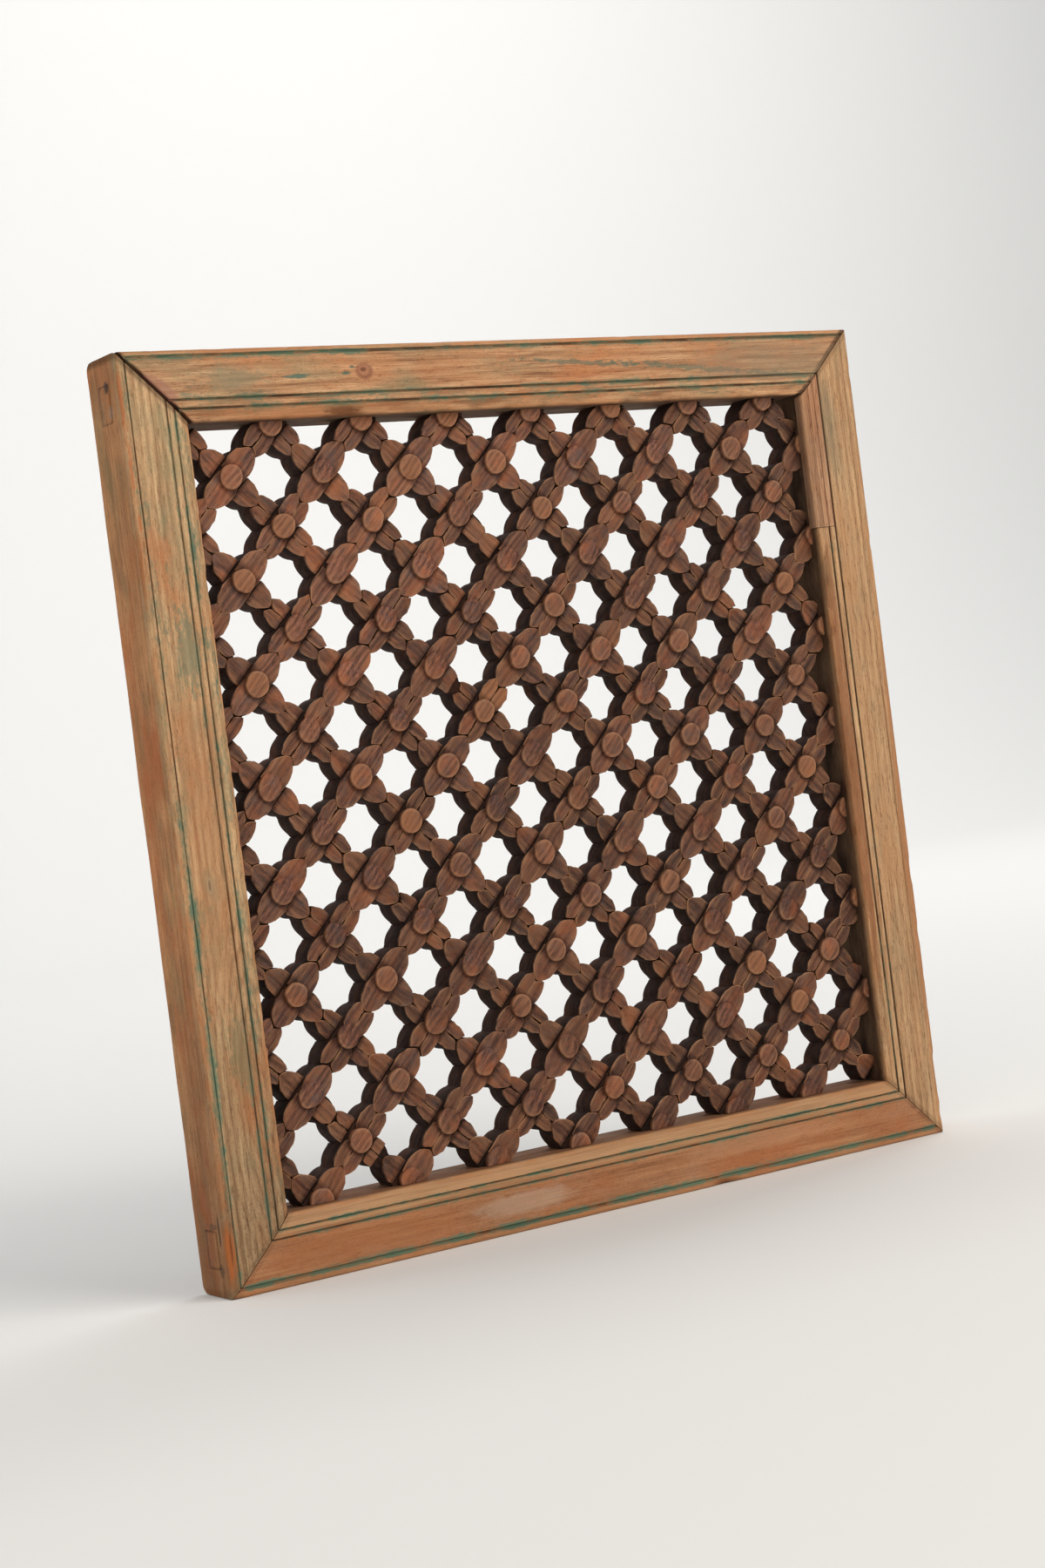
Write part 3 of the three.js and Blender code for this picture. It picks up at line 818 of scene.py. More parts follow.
leftStile = {
    **plankMember,
    "node": "left_stile", "slot": "stile_timber", "side": "left", "seed": 9.2,
    "moulding": {"bead": 5.8, "beadGroove": 1.1, "filletGroove": 1.3, "grooveDepth": 1.1,
                 "beadDepth": 1.1},
    "endGrime": (0.2, 0.6), "grooveGrimeAndShade": 0.7, "mouthDirt": (0.7, 0.0), "outerWear": 1.8,
    "innerWear": 1.3, "innerGrimeAndShade": 0.6, "sideToneAndPaintedLight": 0.03, "sideWave": 0.3, "sideRusset": 1.0,
    "lowTone": -0.33,
    "arris": [(-300, -256, 8, 0.5), (-250, -215, 4.5, 0.4), (-205, -120, 3, 0.3), (140, 176, 2.6, 0.5),
              (178, 226, 2.2, 0.2), (240, 292, 3.0, 0.3)],
    "chips": [(-280, 0.5, 44, 6, 2.6, 0.1)],
    "paint": [
        (5.2, 7.3, -298, 20, 0.61), (5.2, 7.3, 20, 298, 0.4), (2.4, 5.6, -295, 295, 0.36),
        (2.6, 9.0, -215, 10, 0.48), (31.2, 33.2, -272, 272, 0.51), (36.8, 39.2, -268, 268, 0.53),
        (39.2, 45.5, -100, 258, 0.42), (39.2, 45.5, -255, -100, 0.35), (8, 24, 60, 230, 0.33),
        (8, 31, -190, 60, 0.29),
    ],
    "timber": {
        **plankTimber,
        "arches": [{"at": (-262, -178), "spacing": 4.0, "stretch": 4.5, "rings": 11, "strength": 0.09}],
        "pith": (0, 70, 275), "streakWidth": 4.5, "ringSpacing": 5.6, "streakStrength": 0.34,
        "fibreStrength": 0.36, "ringStrength": 0.1, "dark": "#916b4a", "middle": "#bc966d",
        "light": "#d8b387", "blotch": "#b8784c", "film": "#878463", "filmStrength": 0.62,
        "gold": "#b3612c", "goldDark": "#6e3a1c", "worn": "#b9794a", "grime": "#36261c", "ridges": 0.4,
        "marks": [
            (-280, -40, 2.4, 6.5, "#b8a98f", "rub", 0.5, 0.9),
            (-280, -40, 1.1, 4.4, "#33251c", "rub", 0.4, 0.9),
            (-280, -40, 6, 12, "#6d7a5e", "flake", 1.8, 0.4),
            (-278, -10, 16, 120, "#b47a50", "blotch", 1.6, 0.4, {"deep": 6}),
            (-274, 110, 9, 30, "#66775f", "flake", 3.4, 0.6),
            (-273, -150, 9, 26, "#6f7354", "flake", 3.0, 0.5),
            (-298.8, 276, 1.8, 20, "#b8683a", "flake", 2.2, 0.65, {"deep": 2.4}),
            (-297.6, 229, 1.5, 15, "#b8683a", "flake", 2.2, 0.65, {"deep": 2.4}),
            (-296.5, 196, 1.2, 9, "#b8693a", "flake", 1.6, 0.7, {"deep": 2.0}),
            (-297, -276, 4.4, 22, "#b9662f", "fibre", 2.4, 0.7, {"deep": 5}),
            (-296.5, -272, 1.0, 15, "#6a3519", "fibre", 1.6, 0.7, {"deep": 4}),
            (-300, 285, 3, 5, "#4b3a30", "rub", 1.2, 0.9, {"back": 18, "deep": 4}),
            (-300, 268, 3, 5, "#a58f78", "rub", 1.2, 0.6, {"back": 15, "deep": 5}),
            (-300, -288, 3, 5, "#4a3022", "rub", 1.8, 0.6, {"back": 12, "deep": 4}),
            (-300, -262, 3, 13, "#4a3022", "rub", 1.0, 0.9, {"back": 9, "deep": 1.6}),
            (-300, -259, 3, 3, "#5d4234", "rub", 1.8, 0.6, {"back": 17, "deep": 7}),
        ],
    },
}
rightStile = {
    **plankMember,
    "node": "right_stile", "slot": "stile_timber", "side": "right", "seed": 14.6,
    "moulding": {"bead": 6.4, "beadGroove": 1.6, "beadDepth": 0.45, "filletGroove": 1.8, "roundOver": 1.6},
    "endGrime": (0.3, 0.3), "grooveGrimeAndShade": 0.92, "mouthDirt": (0.2, 0.2), "outerWear": 1.6,
    "innerWear": 2.4, "innerGrimeAndShade": 0.95, "sideToneAndPaintedLight": -0.05, "sideWave": 0.7, "sideRusset": 0.6,
    "arris": [(-40, 300, 5, 0.35)],
    "chips": [
        (262, 0.5, 20, 4, 1.6, 0.3),
        (-120, 46, 24, 5, 1.8, 0.5),
        (20, 46, 40, 4, 1.5, 0.4),
    ],
    "paint": [(31.2, 33.2, -150, 272, 0.37), (36.8, 39.2, -150, 268, 0.41)],
    "timber": {
        **plankTimber,
        "pith": (60, 80, -240), "streakWidth": 5.0, "ringSpacing": 6.0, "streakStrength": 0.42,
        "fibreStrength": 0.52, "gritStrength": 0.55, "dark": "#936d49", "middle": "#b78f68",
        "light": "#d0aa7e", "blotch": "#b3835a", "blotchStrength": 0.6, "film": "#98876a",
        "filmStrength": 0.45, "poreStrength": 0.5, "gold": "#b26e40", "goldDark": "#865030",
        "worn": "#b9804f", "grime": "#36241a",
        "marks": [
            (272, 235, 9, 46, "#7d735b", "fibre", 2.6, 0.5),
            (297, -80, 4, 190, "#a06b46", "fibre", 1.6, 0.5),
            (257, -20, 6, 190, "#8f5836", "fibre", 1.2, 0.7),
        ],
    },
}
repairStrip = {
    **plankMember,
    "node": "repair_strip", "slot": "repair_timber", "length": 100.0, "depth": 9.5, "proud": 2.0,
    "outer": 32.75, "line": 42.3, "lineWidth": 1.1, "lineDepth": 0.8, "seed": 21.4, "cuts": 60, "gap": 0.3,
    "startGap": 0.15, "cutEdge": 0.05, "clear": 0.6, "round": 0.6,
    "innerEdge": [(-5.0, 0.7), (-1.2, 1.5), (-0.3, 2.2), (0, 3.2), (0, 6)],  # reach and depth
    "outerWear": 0.3, "innerWear": 0.8, "innerGrimeAndShade": 0.6, "sideToneAndPaintedLight": 0, "sideWave": 0, "sideRusset": 0,
    "endGrime": (0.2, 0.6), "grooveGrimeAndShade": 0.6,
    "timber": {
        **plankTimber,
        "pith": (20, 60, -200), "streakWidth": 3.5, "fibreWidth": 1.0, "ringSpacing": 5.0,
        "streakStrength": 0.5, "fibreStrength": 0.7, "gritStrength": 0.25, "dark": "#91634a",
        "middle": "#c0926d", "light": "#d6aa86", "blotch": "#b3774f", "blotchStrength": 0.6,
        "film": "#a08a72", "filmStrength": 0.3, "poreStrength": 0.5, "gold": "#c79a64",
        "goldDark": "#96703f", "worn": "#bf9068", "grime": "#4b3a30", "ridges": 0.3,
    },
}


# The stile is lowered where the repair strip is let in
def cutRebate(bm, halfLength):
    stop = -halfLength + moulding["face"] + repairStrip["length"] + repairStrip["gap"]
    for place in (stop, stop + repairStrip["cutEdge"]):
        bmesh.ops.bisect_plane(bm, geom=bm.verts[:] + bm.edges[:] + bm.faces[:], plane_co=(place, 0, 0),
                               plane_no=(1, 0, 0), dist=0.0001)
    for v in bm.verts:
        besideStrip = v.co.x < stop + repairStrip["cutEdge"] / 2
        if besideStrip and v.co.z > repairStrip["outer"] - repairStrip["clear"]:
            v.co.y = max(v.co.y, repairStrip["depth"] + repairStrip["gap"])


def buildFrame():
    for look in (topRail, bottomRail, leftStile, rightStile):
        rail = look["side"] in ("top", "bottom")
        halfLength = ((cadHigh.x - cadLow.x) if rail else (cadHigh.z - cadLow.z)) / 2 / mm
        profile = mouldingProfile({**moulding, **look["moulding"]})
        bm = drawnMember(profile, look["startGap"], look["endGap"], -halfLength, halfLength,
                         moulding["cuts"])
        wearMember(bm, look, look["seed"])
        if rail:
            for direction in (-1, 1):
                joinShape(bm, tenonBlock(direction * halfLength, direction, look["tenonDirt"]))
        else:
            for direction, dirt in zip((-1, 1), look["mouthDirt"]):
                cutMortise(bm, direction * (halfLength - tenon["fromEnd"]), dirt)
        if look is rightStile:
            cutRebate(bm, halfLength)
        standMember(bm, look["side"])
        timber = oldTimber(look["node"] + "_plankTimber", look["timber"])
        finishPiece(bm, look["node"], timber, moulding["crease"])

    # the strip: the inner part of the moulding again, unpainted and a little proud of the opening
    m, look = moulding, repairStrip
    filletEnd = m["fillet"] + m["filletGroove"] + m["filletWidth"]
    inner = m["face"] + look["proud"]
    profile = [(look["outer"], look["depth"]), (look["outer"], look["round"]),
               (look["outer"] + look["round"], 0)]
    profile += grooveSteps(filletEnd, look["lineWidth"], look["lineDepth"])
    profile += grooveSteps(look["line"], look["lineWidth"], look["lineDepth"])
    profile += [(inner + reach, back) for reach, back in look["innerEdge"]] + [(inner, look["depth"])]
    halfLength = (cadHigh.z - cadLow.z) / 2 / mm
    end = -halfLength + m["face"] + look["length"]
    bm = drawnMember(profile, look["startGap"], None, -halfLength, end, look["cuts"])
    wearMember(bm, look, look["seed"])
    standMember(bm, "right")
    timber = oldTimber("repair_strip_newerTimber", look["timber"])
    finishPiece(bm, look["node"], timber, moulding["crease"])


buildFrame()
print("frame members made")


# lattice: bars halved over each other, their fronts carved into flowers. On a bar a point is given
# by its run from a crossing and its half width, in mm.
lattice = {
    "crossings": 16,
    "pitch": 34.2,
    "turn": 45,  # degrees
    "depth": 20.0,
    "setback": 12.5,  # petals of the rising bars, behind the frame's front
    "fallingSetback": 1.5,
    "halfWidth": 9.5,  # at a crossing
    "notchHalf": 10.1,
    "neck": 4.9,
    "carveDepth": 2.1,
    "groove": 0.85,  # between two leaves
    "fit": 0.3,
    "coreInset": 0.35,
    "stations": 16,
    "crease": 34,
    "barTone": 0.1,
    # darkening of groove floors and bar walls: grime and painted shade
    "frontGrimeAndShade": 0.95,
    "backGrimeAndShade": 0.55,
    "fadedTone": 0.55,  # flowers towards the upper left are paler
    "fadedFrom": 40,
    "fadedTo": 320,
    "lowTone": 0.17,  # and those at the lower left
    "lowUp": (90, 220),
    "lowAcross": (-60, 130),
}
leafShapes = {
    "broad": {"middle": 11.0, "tip": 26.0, "half": 9.5, "base": 2.0, "off": 0.0, "toTip": 0.0,
              "point": 0.27, "taper": 0.08, "dish": 0.45, "paler": 0.1},
    "narrow": {"middle": 13.5, "tip": 25.4, "half": 4.6, "base": 2.5, "off": 4.95, "toTip": -0.4,
               "point": 0.4, "dish": 0.5, "fullness": 1.3, "paler": -0.06},
}
leafLook = {
    "stations": 8,
    "rows": 2,
    "rim": 0.65,
    "ragged": 0.9,
    "tipSpread": (-0.9, 0.7),  # from leaf to leaf
    "halfSpread": (-0.4, 0.15),
    "liftSpread": (-0.5, 0.5),
    "tiltSpread": (-0.04, 0.06),
    "leanSpread": (-0.08, 0.08),
    "swingSpread": (-0.04, 0.04),
    "toneSpread": (-0.36, 0.18),
    "goldSpread": (-0.4, 0.3),
    "fallingSlim": 0.2,
    "fallingTilt": 0.05,
    "fallingGap": 0.15,
    "bareSunk": 0.6,
    "bareHalf": 7.4,
    "brokenEdge": 1.6,
    "brokenFrom": 0.7,
    "brokenWaves": (2.5, 3),
    "raggedWaves": 4,
    "risingShade": (8.4, 10.6),  # where the painted shade beside a boss or a bar ends
    "fallingShade": (10.2, 11.6),
    "foot": 0.5,
    "leastWidth": 0.5,
    "tiltAbout": 15,
    "swingAbout": 12,
    "bareInset": 0.5,
    "faceWear": 0.1,
    "rimWear": 0.35,
    "edgeWear": 1.0,
    "bareWear": 0.25,
    "paintedBaseShade": 0.6,
    "paintedJoinedShade": 0.1,  # less painted shade beside a boss that runs into the petal
}
bossLook = {
    "radius": 8.35,
    "height": 2.2,
    "root": 3.0,
    "segments": 24,
    "rim": 0.9,
    "inset": 1.6,
    "dome": 0.3,
    "radiusSpread": (-0.45, 0.35),  # from boss to boss
    "longSpread": (-0.10, 0.09),
    "shiftSpread": (-0.3, 0.3),
    "heightSpread": (-0.5, 0.3),
    "slopeSpread": (-0.03, 0.03),
    "toneSpread": (-0.2, 0.15),
    "goldSpread": (0.0, 0.3),
    "bump": 0.032,
    "bumpCounts": (2, 3, 5),
    "flat": 0.84,
    "flatReach": 0.3,
    "paler": 0.52,
    "lightShare": 0.25,
    "lightFaded": 0.35,
    "lightGold": 0.45,
    "merging": 0.45,  # share of the bosses that run into the petal to the upper right
    "mergingHeight": 1.3,
    "mergingSlope": 0.12,
    "mergingPaler": 0.34,
    "mergingLong": (0.04, 0.18),
    "mergingShift": (0.2, 1.4),
    "mergingSpread": (-0.2, 0.2),
    "mergingRub": (-5, 5),
    "topWear": 0.25,
    "rimWear": 0.8,
    "sideWear": 0.6,
    "paintedSideShade": 0.1,
}
step = lattice["pitch"] * math.sqrt(2)


def halfAt(shape, run):
    ahead = run > shape["middle"]
    reach = shape["tip"] - shape["middle"] if ahead else shape["middle"] - shape["base"]
    part = abs(run - shape["middle"]) / reach
    if part >= 1:
        return 0
    return shape["half"] * math.sqrt(1 - part ** 2) * (1 - (shape["point"] * part ** 4 if ahead else 0))


# outline of a bar between two crossings, from the one with narrow leaves
def barEdge(run):
    broad, narrow = leafShapes["broad"], leafShapes["narrow"]
    if run < lattice["notchHalf"] or run > step - lattice["notchHalf"]:
        return lattice["halfWidth"]
    far = halfAt(broad, step - run) if step - run > broad["middle"] else broad["half"]
    along = (run - narrow["middle"]) / (narrow["tip"] - narrow["middle"])
    near = 0
    if run < narrow["tip"]:
        near = narrow["off"] + narrow["toTip"] * max(along, 0) ** 2
        near += halfAt(narrow, max(run, narrow["middle"]))
    return max(far, near, lattice["neck"])


def broadFoot(shape, run):
    return shape["half"] * (1 - shape["taper"] * (1 - run / shape["middle"]))


# The two sides of a leaf at a place along it, as half widths; a narrow leaf gives way to the broad one
def leafSides(kind, shape, run):
    ahead = run > shape["middle"]
    if kind == "broad":
        half = halfAt(shape, run) if ahead else broadFoot(shape, run)
        return -half, half
    along = max(run - shape["middle"], 0) / (shape["tip"] - shape["middle"])
    off = shape["off"] + shape["toTip"] * along ** 2
    half = halfAt(shape, run)
    meets = halfAt(leafShapes["broad"], step - run) + lattice["groove"]
    inner = max(off - half * shape["fullness"], lattice["groove"] / 2) if ahead else lattice["groove"] / 2
    if step - run < leafShapes["broad"]["tip"] + lattice["groove"]:
        inner = max(inner, meets)
    return inner, off + half


def leafTip(kind, shape):
    near, far = shape["middle"], shape["tip"]
    for trial in range(20):
        run = (near + far) / 2
        low, high = leafSides(kind, shape, run)
        if high - low > leafLook["leastWidth"]:
            near = run
        else:
            far = run
    return near


# One leaf: a plate standing on the bar, dished, with a rubbed rim and painted shade at its foot
def carveLeaf(kind, side, rising, level, dice, wound, paintedBaseShade):
    shape = dict(leafShapes[kind])
    bare = wound.get("bare", False)
    shape["tip"] += dice.uniform(*leafLook["tipSpread"])
    shape["half"] += dice.uniform(*leafLook["halfSpread"]) - (0 if rising else leafLook["fallingSlim"])
    lift = dice.uniform(*leafLook["liftSpread"]) + wound.get("lift", 0)
    tilt = dice.uniform(*leafLook["tiltSpread"]) + (0 if rising else leafLook["fallingTilt"])
    lean = dice.uniform(*leafLook["leanSpread"])
    swing = dice.uniform(*leafLook["swingSpread"])
    base = shape["base"] if rising else lattice["notchHalf"] + leafLook["fallingGap"]
    tip = min(leafTip(kind, shape), wound.get("stop", step))
    if bare:
        tip = step / 2
        lift, tilt, lean, swing = -leafLook["bareSunk"], 0, 0, 0
    leaf = newShape()
    bmesh.ops.create_grid(leaf, x_segments=leafLook["stations"], y_segments=leafLook["rows"], size=1)
    rim = {}
    for v in leaf.verts:
        part, across = (v.co.x + 1) / 2, (v.co.y + 1) / 2
        run = base + (tip - base) * math.sin(part * math.pi / 2)
        low, high = leafSides(kind, shape, run)
        if bare:
            edge = barEdge(run if kind == "narrow" else step - run)
            high = min(edge - leafLook["bareInset"], leafLook["bareHalf"])
            low = -high
        width = low + (high - low) * across
        if kind == "narrow" and not bare:
            width *= side
        rim[v] = 1 if across in (0, 1) or part > 0.999 else 0
        if wound.get("stop") and part > leafLook["brokenFrom"]:
            wide, long = leafLook["brokenWaves"]
            run += leafLook["brokenEdge"] * noise.noise(Vector((width / wide, run / long, level)))
        if rim[v]:
            place = Vector((run / leafLook["raggedWaves"], side * 3 + across, lift * 40))
            width += leafLook["ragged"] * noise.noise(place)
        height = level - lift - tilt * (run - leafLook["tiltAbout"]) - lean * (width - side * shape["off"])
        height += shape["dish"] * (1 - rim[v])
        v.co = (run, height, width + swing * (run - leafLook["swingAbout"]))
    bmesh.ops.remove_doubles(leaf, verts=leaf.verts[:], dist=0.05)
    wear, grime, tone, gold = [leaf.verts.layers.float[part] for part in marksOfUse[:4]]
    for v in leaf.verts:
        # painted shade at the foot of the leaf, beside the boss or the rising bar, with less rim wear
        # there
        shaded = 1 - smoothStep(*leafLook["risingShade" if rising else "fallingShade"], v.co.x)
        v[wear] = (leafLook["faceWear"] + leafLook["rimWear"] * rim.get(v, 1)) * (1 - shaded)
        v[grime] = paintedBaseShade * shaded
    floor = set(vertsOf(bmesh.ops.extrude_face_region(leaf, geom=leaf.faces[:])["geom"]))
    for v in floor:
        v.co.y = level + lattice["carveDepth"] + leafLook["foot"]
    upper = [e for e in leaf.edges if not any(v in floor for v in e.verts)]
    rimEdges = [e for e in upper if any(any(v in floor for v in f.verts) for f in e.link_faces)]
    roundEdges(leaf, rimEdges, leafLook["rim"], 1)
    for v in leaf.verts:
        if v not in floor and any(e.other_vert(v) in floor for e in v.link_edges):
            v[wear] = leafLook["bareWear" if bare else "edgeWear"]
    ownTone = dice.uniform(*leafLook["toneSpread"]) + wound.get("tone", 0) + shape["paler"]
    ownGold = max(0, dice.uniform(*leafLook["goldSpread"])) + wound.get("gold", 0)
    for v in leaf.verts:
        v[tone] = ownTone
        v[gold] = min(ownGold, 1)
        # the leaf's walls darken down to the bar: grime and painted shade
        if v.co.y > level + lattice["carveDepth"]:
            v[grime] = lattice["frontGrimeAndShade"]
    return leaf


# the top of a boss: of the faces with most corners, the one furthest to the front
def bossTop(boss):
    return max(boss.faces, key=lambda f: (len(f.verts), -f.calc_center_median().y))


# One boss: a low disc with a rubbed rim and painted shade at its foot, some of them oval or knocked
# about. A merging one takes the tone and gold of its petal.
def carveBoss(level, dice, wound, petal, faded):
    merging = petal is not None
    boss = newShape()
    bmesh.ops.create_circle(boss, cap_ends=True, segments=bossLook["segments"], radius=1)
    radius = bossLook["radius"] + dice.uniform(*bossLook["radiusSpread"])
    longer = 1 + max(0, dice.uniform(*bossLook["longSpread"])) + wound.get("long", 0)
    shift = dice.uniform(*bossLook["shiftSpread"]) + wound.get("shift", 0)
    dice.random()  # a draw passed over, not used
    bumps = [(count, dice.uniform(0, bossLook["bump"]), dice.uniform(0, math.tau))
             for count in bossLook["bumpCounts"]]
    lift = bossLook["height"] + dice.uniform(*bossLook["heightSpread"])
    slope = [dice.uniform(*bossLook["slopeSpread"]) for way in range(2)]
    if merging:
        longer += dice.uniform(*bossLook["mergingLong"])
        shift += dice.uniform(*bossLook["mergingShift"])
        lift = bossLook["mergingHeight"] + dice.uniform(*bossLook["mergingSpread"])
        slope[0] += bossLook["mergingSlope"]
    for v in boss.verts:
        angle = math.atan2(v.co.y, v.co.x)
        out = radius * (1 + sum(size * math.cos(count * angle + start) for count, size, start in bumps))
        if wound.get("flat") is not None:
            toFlat = math.cos(angle - wound["flat"])
            out = min(out, radius * bossLook["flat"] / toFlat) if toFlat > bossLook["flatReach"] else out
        run, width = out * math.cos(angle) * longer + shift, out * math.sin(angle)
        v.co = (run, level - lift + slope[0] * run + slope[1] * width, width)
    floor = set(vertsOf(bmesh.ops.extrude_face_region(boss, geom=boss.faces[:])["geom"]))
    for v in floor:
        v.co.y = level + bossLook["root"]
    topFace = bossTop(boss)
    roundEdges(boss, topFace.edges[:] + topFace.verts[:], bossLook["rim"], 2)
    topFace = bossTop(boss)
    rimVerts = set(topFace.verts)
    bmesh.ops.inset_region(boss, faces=[topFace], thickness=bossLook["inset"], depth=0)
    inner = set(bossTop(boss).verts)
    wear, grime, tone, gold = [boss.verts.layers.float[part] for part in marksOfUse[:4]]
    ownTone = dice.uniform(*bossLook["toneSpread"]) + bossLook["paler"]
    ownGold = dice.uniform(*bossLook["goldSpread"])
    if dice.random() < bossLook["lightShare"] + bossLook["lightFaded"] * faded:
        ownGold += bossLook["lightGold"]
    if merging:
        ownTone = petal[0] + bossLook["mergingPaler"]
        ownGold = petal[1]
    for v in boss.verts:
        v[tone] = ownTone
        v[gold] = ownGold
        rubbed = 1 - smoothStep(*bossLook["mergingRub"], v.co.x) if merging else 1
        # the foot of the boss painted dark as its contact shade, fading up the side
        if v in floor:
            v[grime] = 1.0
        elif v in inner:
            v[wear] = bossLook["topWear"] * rubbed
            v.co.y -= bossLook["dome"]
        elif v in rimVerts:
            v[wear] = bossLook["rimWear"] * rubbed
        else:
            v[wear] = bossLook["sideWear"] * rubbed
            v[grime] = bossLook["paintedSideShade"] * rubbed
    return boss


# The bar itself, scalloped along its sides and halved at each crossing
def barCore(spans, firstNarrow, rising, front, back, halving):
    columns = []
    notch, half = lattice["notchHalf"], lattice["halfWidth"]
    full = (front, back, half)
    cut = (front, halving, half) if rising else (halving, back, half)
    tail = -notch if rising else half + lattice["fit"] / 2
    start = -step * spans / 2
    for k in range(spans + 1):
        middle = start + k * step
        if k in (0, spans):
            columns.append((middle + tail if k == 0 else middle - tail, *full))
        else:
            columns += [(middle - notch, *full), (middle - notch, *cut), (middle + notch, *cut),
                        (middle + notch, *full)]
        if k < spans:
            fromNarrow = firstNarrow == (k % 2 == 0)
            for part in range(1, lattice["stations"]):
                run = notch + (step - 2 * notch) * part / lattice["stations"]
                width = barEdge(run if fromNarrow else step - run) - lattice["coreInset"]
                columns.append((middle + run, front, back, width))
    bm = newShape()
    bmesh.ops.create_grid(bm, x_segments=len(columns) - 1, y_segments=1, size=1)
    grime = bm.verts.layers.float["grime"]
    backLevel = {}
    for v in bm.verts:
        place = round((v.co.x + 1) / 2 * (len(columns) - 1))
        run, frontLevel, backLevel[v], width = columns[place]
        v.co = (run, frontLevel, math.copysign(width, v.co.y))
    behind = vertsOf(bmesh.ops.extrude_face_region(bm, geom=bm.faces[:])["geom"])
    # groove floors and bar walls darkened: grime, and painted shade in the hollows between leaves and in
    # the openings
    for v in bm.verts:
        v[grime] = lattice["frontGrimeAndShade"]
    for v in behind:
        ahead = next(e.other_vert(v) for e in v.link_edges if e.other_vert(v) in backLevel)
        v.co.y = backLevel[ahead]
        v[grime] = lattice["backGrimeAndShade"]
    return bm


# what time has done to single flowers: (column, row, direction along the bar)
risingWounds = {
    (6, 6, 1): {"gold": 0.7, "tone": 0.2},
    (1, 13, 1): {"tone": 0.18},
}
fallingWounds = {
    (6, 2, 1): {"bare": True, "tone": 0.3, "gold": 0.35},
    (7, 3, -1): {"bare": True, "tone": 0.3, "gold": 0.35},
    (5, 5, 1): {"stop": 19.0, "tone": -0.1},
    (6, 6, -1): {"lift": -0.9, "tone": 0.1},
    (4, 10, 1): {"tone": 0.35, "gold": 0.4, "lift": -0.5},
    (1, 13, 1): {"bare": True, "tone": 0.35, "gold": 0.45},
    (2, 14, -1): {"tone": 0.25, "gold": 0.3},
    (2, 14, 1): {"stop": 18.0, "tone": 0.2, "gold": 0.3},
}
bossWounds = {
    (4, 2): {"long": 0.1, "flat": -1.1},
    (3, 3): {"long": 0.22, "shift": 1.4},
    (1, 13): {"long": 0.25, "shift": 1.6},
}


def trimToOpening(bm):
    inset = (moulding["face"] + lattice["fit"]) * mm
    left, right = cadLow.x + inset, cadHigh.x - inset
    low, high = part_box("bottom_rail")[0].z + inset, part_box("top_rail")[1].z - inset
    for place, across in (((left, 0, 0), (-1, 0, 0)), ((right, 0, 0), (1, 0, 0)),
                          ((0, 0, low), (0, 0, -1)), ((0, 0, high), (0, 0, 1))):
        bmesh.ops.bisect_plane(bm, geom=bm.verts[:] + bm.edges[:] + bm.faces[:], plane_co=place,
                               plane_no=across, clear_outer=True, dist=1e-7)
        openEdges = [e for e in bm.edges if e.is_boundary]
        if openEdges:
            bmesh.ops.holes_fill(bm, edges=openEdges, sides=0)


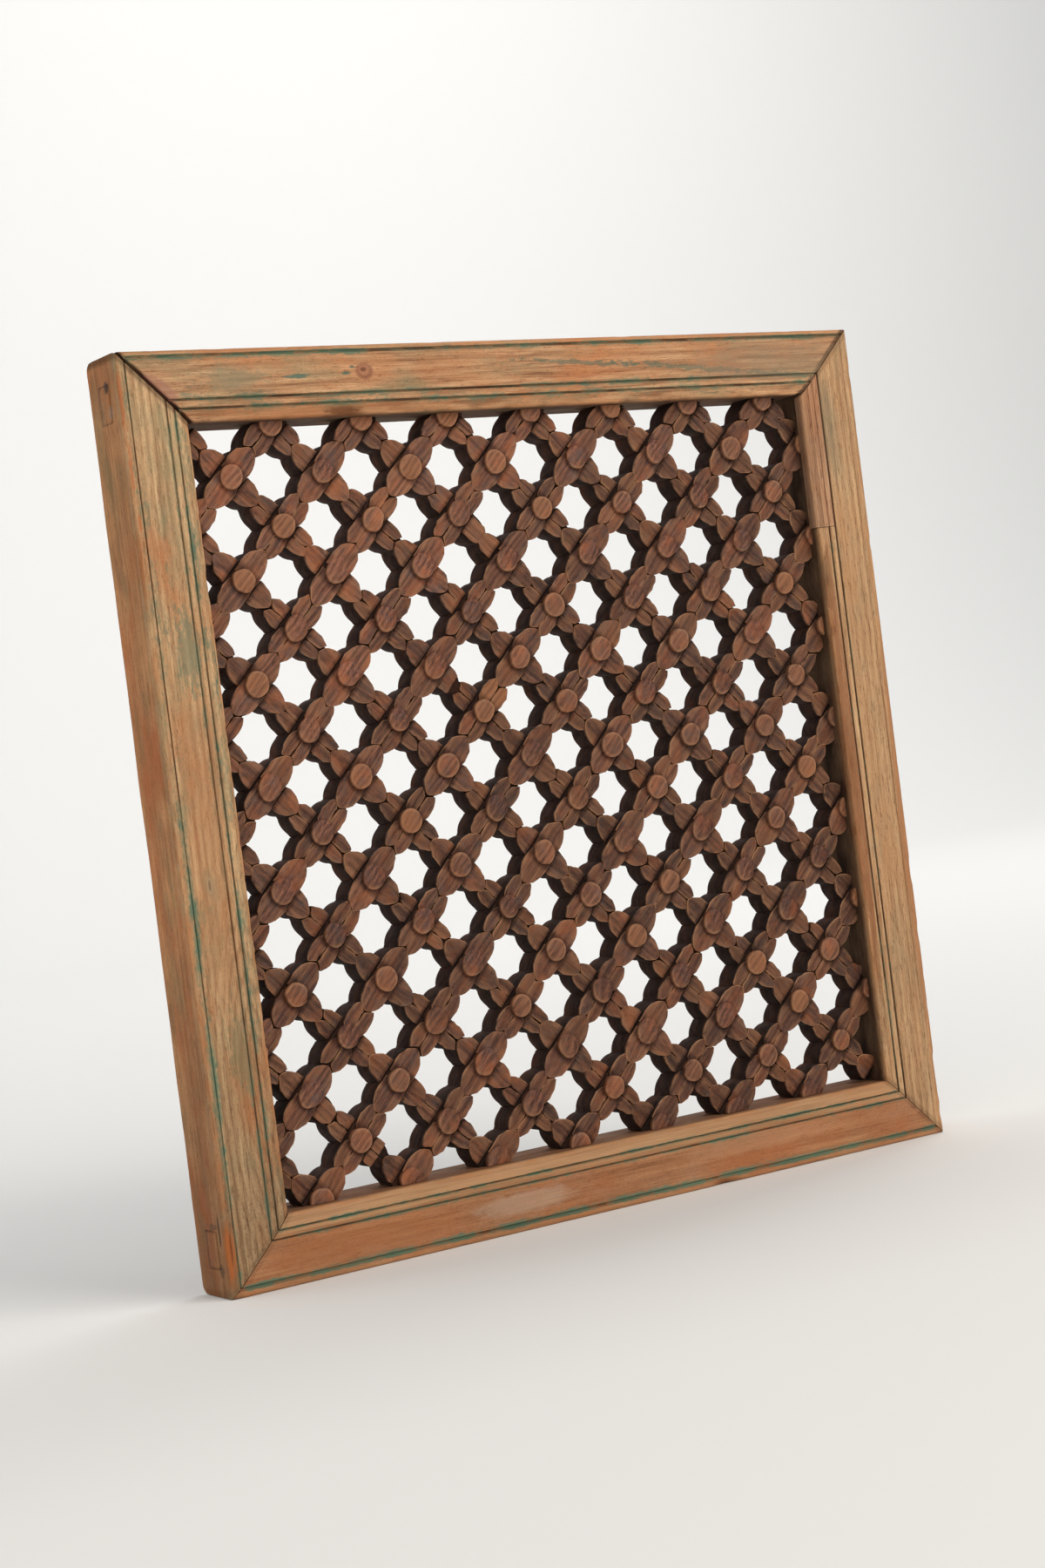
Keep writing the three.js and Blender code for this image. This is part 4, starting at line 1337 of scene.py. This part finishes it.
def buildBar(name, start, end, rising, material):
    dice = random.Random(name)
    spans = end[0] - start[0]
    wounds = risingWounds if rising else fallingWounds
    level = lattice["setback"] + (0 if rising else lattice["fallingSetback"])
    back = lattice["setback"] + lattice["depth"]
    halving = lattice["setback"] + lattice["depth"] / 2 + (-0.5 if rising else 0.5) * lattice["fit"]
    bm = barCore(spans, start[0] % 2 == 0, rising, level + lattice["carveDepth"], back, halving)
    barTone = dice.uniform(-lattice["barTone"], lattice["barTone"])
    for k in range(spans + 1):
        column = start[0] + k
        row = start[1] + (-k if rising else k)
        kind = "broad" if column % 2 else "narrow"
        middle = (k - spans / 2) * step
        merging = rising and random.Random(100 * column + row).random() < bossLook["merging"]
        petal = None
        for direction in (-1, 1):
            if not 0 <= k + direction <= spans:
                continue
            wound = wounds.get((column, row, direction), {})
            joined = merging and direction > 0
            paintedBaseShade = leafLook["paintedJoinedShade" if joined else "paintedBaseShade"]
            for side in ((0,) if kind == "broad" or wound.get("bare") else (-1, 1)):
                leaf = carveLeaf(kind, side, rising, level, dice, wound, paintedBaseShade)
                if joined:
                    anyVert = next(iter(leaf.verts))
                    petal = [anyVert[leaf.verts.layers.float[part]] for part in ("tone", "gold")]
                for v in leaf.verts:
                    v.co.x = middle + direction * v.co.x
                joinShape(bm, leaf)
        if rising:
            towardsCorner = (lattice["crossings"] - 1 - column - row) * lattice["pitch"]
            faded = smoothStep(lattice["fadedFrom"], lattice["fadedTo"], towardsCorner)
            boss = carveBoss(level, dice, bossWounds.get((column, row), {}), petal, faded)
            for v in boss.verts:
                v.co.x += middle
            joinShape(bm, boss)
    centre = (lattice["crossings"] - 1) / 2
    across = ((start[0] + end[0]) / 2 - centre) * lattice["pitch"] * mm
    up = (centre - (start[1] + end[1]) / 2) * lattice["pitch"] * mm
    place = Matrix.Translation((panelMiddle.x + across, cadLow.y, panelMiddle.z + up))
    turn = math.radians(-lattice["turn"] if rising else lattice["turn"])
    place @= Matrix.Rotation(turn, 4, "Y") @ Matrix.Scale(mm, 4)
    bmesh.ops.transform(bm, matrix=place, verts=bm.verts[:])
    tone = bm.verts.layers.float["tone"]
    for v in bm.verts:
        across, up = (v.co.x - panelMiddle.x) / mm, (v.co.z - panelMiddle.z) / mm
        faded = smoothStep(lattice["fadedFrom"], lattice["fadedTo"], up - across)
        lowLeft = smoothStep(*lattice["lowUp"], -up) * (1 - smoothStep(*lattice["lowAcross"], across))
        v[tone] += barTone + lattice["fadedTone"] * faded
        v[tone] += lattice["lowTone"] * lowLeft
    trimToOpening(bm)
    finishPiece(bm, name, material, lattice["crease"])


risingTimber = {
    **plankTimber,
    "grainTurn": 45, "pith": (0, 60, 300), "streakWidth": 1.7, "fibreWidth": 0.5, "ringSpacing": 4.2,
    "streakStrength": 0.3, "fibreStrength": 0.6, "ringStrength": 0.12, "gritStrength": 0.9,
    "dark": "#291711", "middle": "#523125", "light": "#774f3c", "rubFrom": 0.31, "rubTo": 0.53,
    "blotch": "#7f4628", "blotchSize": (24, 13), "blotchStrength": 0.68, "film": "#463c3a",
    "filmSize": (10, 8), "filmStrength": 0.55, "pore": "#6a4636", "poreStrength": 0.48, "gold": "#97623e",
    "goldDark": "#5c3b28", "worn": "#c3906a", "grime": "#1b0f09", "ridges": 0.6, "gloss": 0.5,
}
fallingTimber = {
    **risingTimber, "grainTurn": -45, "pith": (0, 75, 310), "dark": "#271610", "middle": "#4d2f23",
    "light": "#6f4937",
}


def buildLattice():
    last = lattice["crossings"] - 1
    risingMaterial = oldTimber("risingBars_carvedHardwood", risingTimber)
    fallingMaterial = oldTimber("fallingBars_carvedHardwood", fallingTimber)
    for total in range(2, 2 * last, 2):
        start = (max(0, total - last), min(total, last))
        end = (min(total, last), max(0, total - last))
        buildBar(f"rising_bar_{total // 2:02d}", start, end, True, risingMaterial)
    for shift in range(1 - last, last, 2):
        start = (max(0, shift), max(0, -shift))
        end = (min(last, last + shift), min(last, last - shift))
        buildBar(f"falling_bar_{(shift + last + 1) // 2:02d}", start, end, False, fallingMaterial)


buildLattice()
bpy.data.meshes.remove(scratchMesh)
print("lattice carved")

triangles = 0
for piece in scene.objects:
    if piece.type == "MESH" and piece.name.endswith("_carved"):
        piece.data.calc_loop_triangles()
        triangles += len(piece.data.loop_triangles)
print("triangles in the pieces:", triangles)
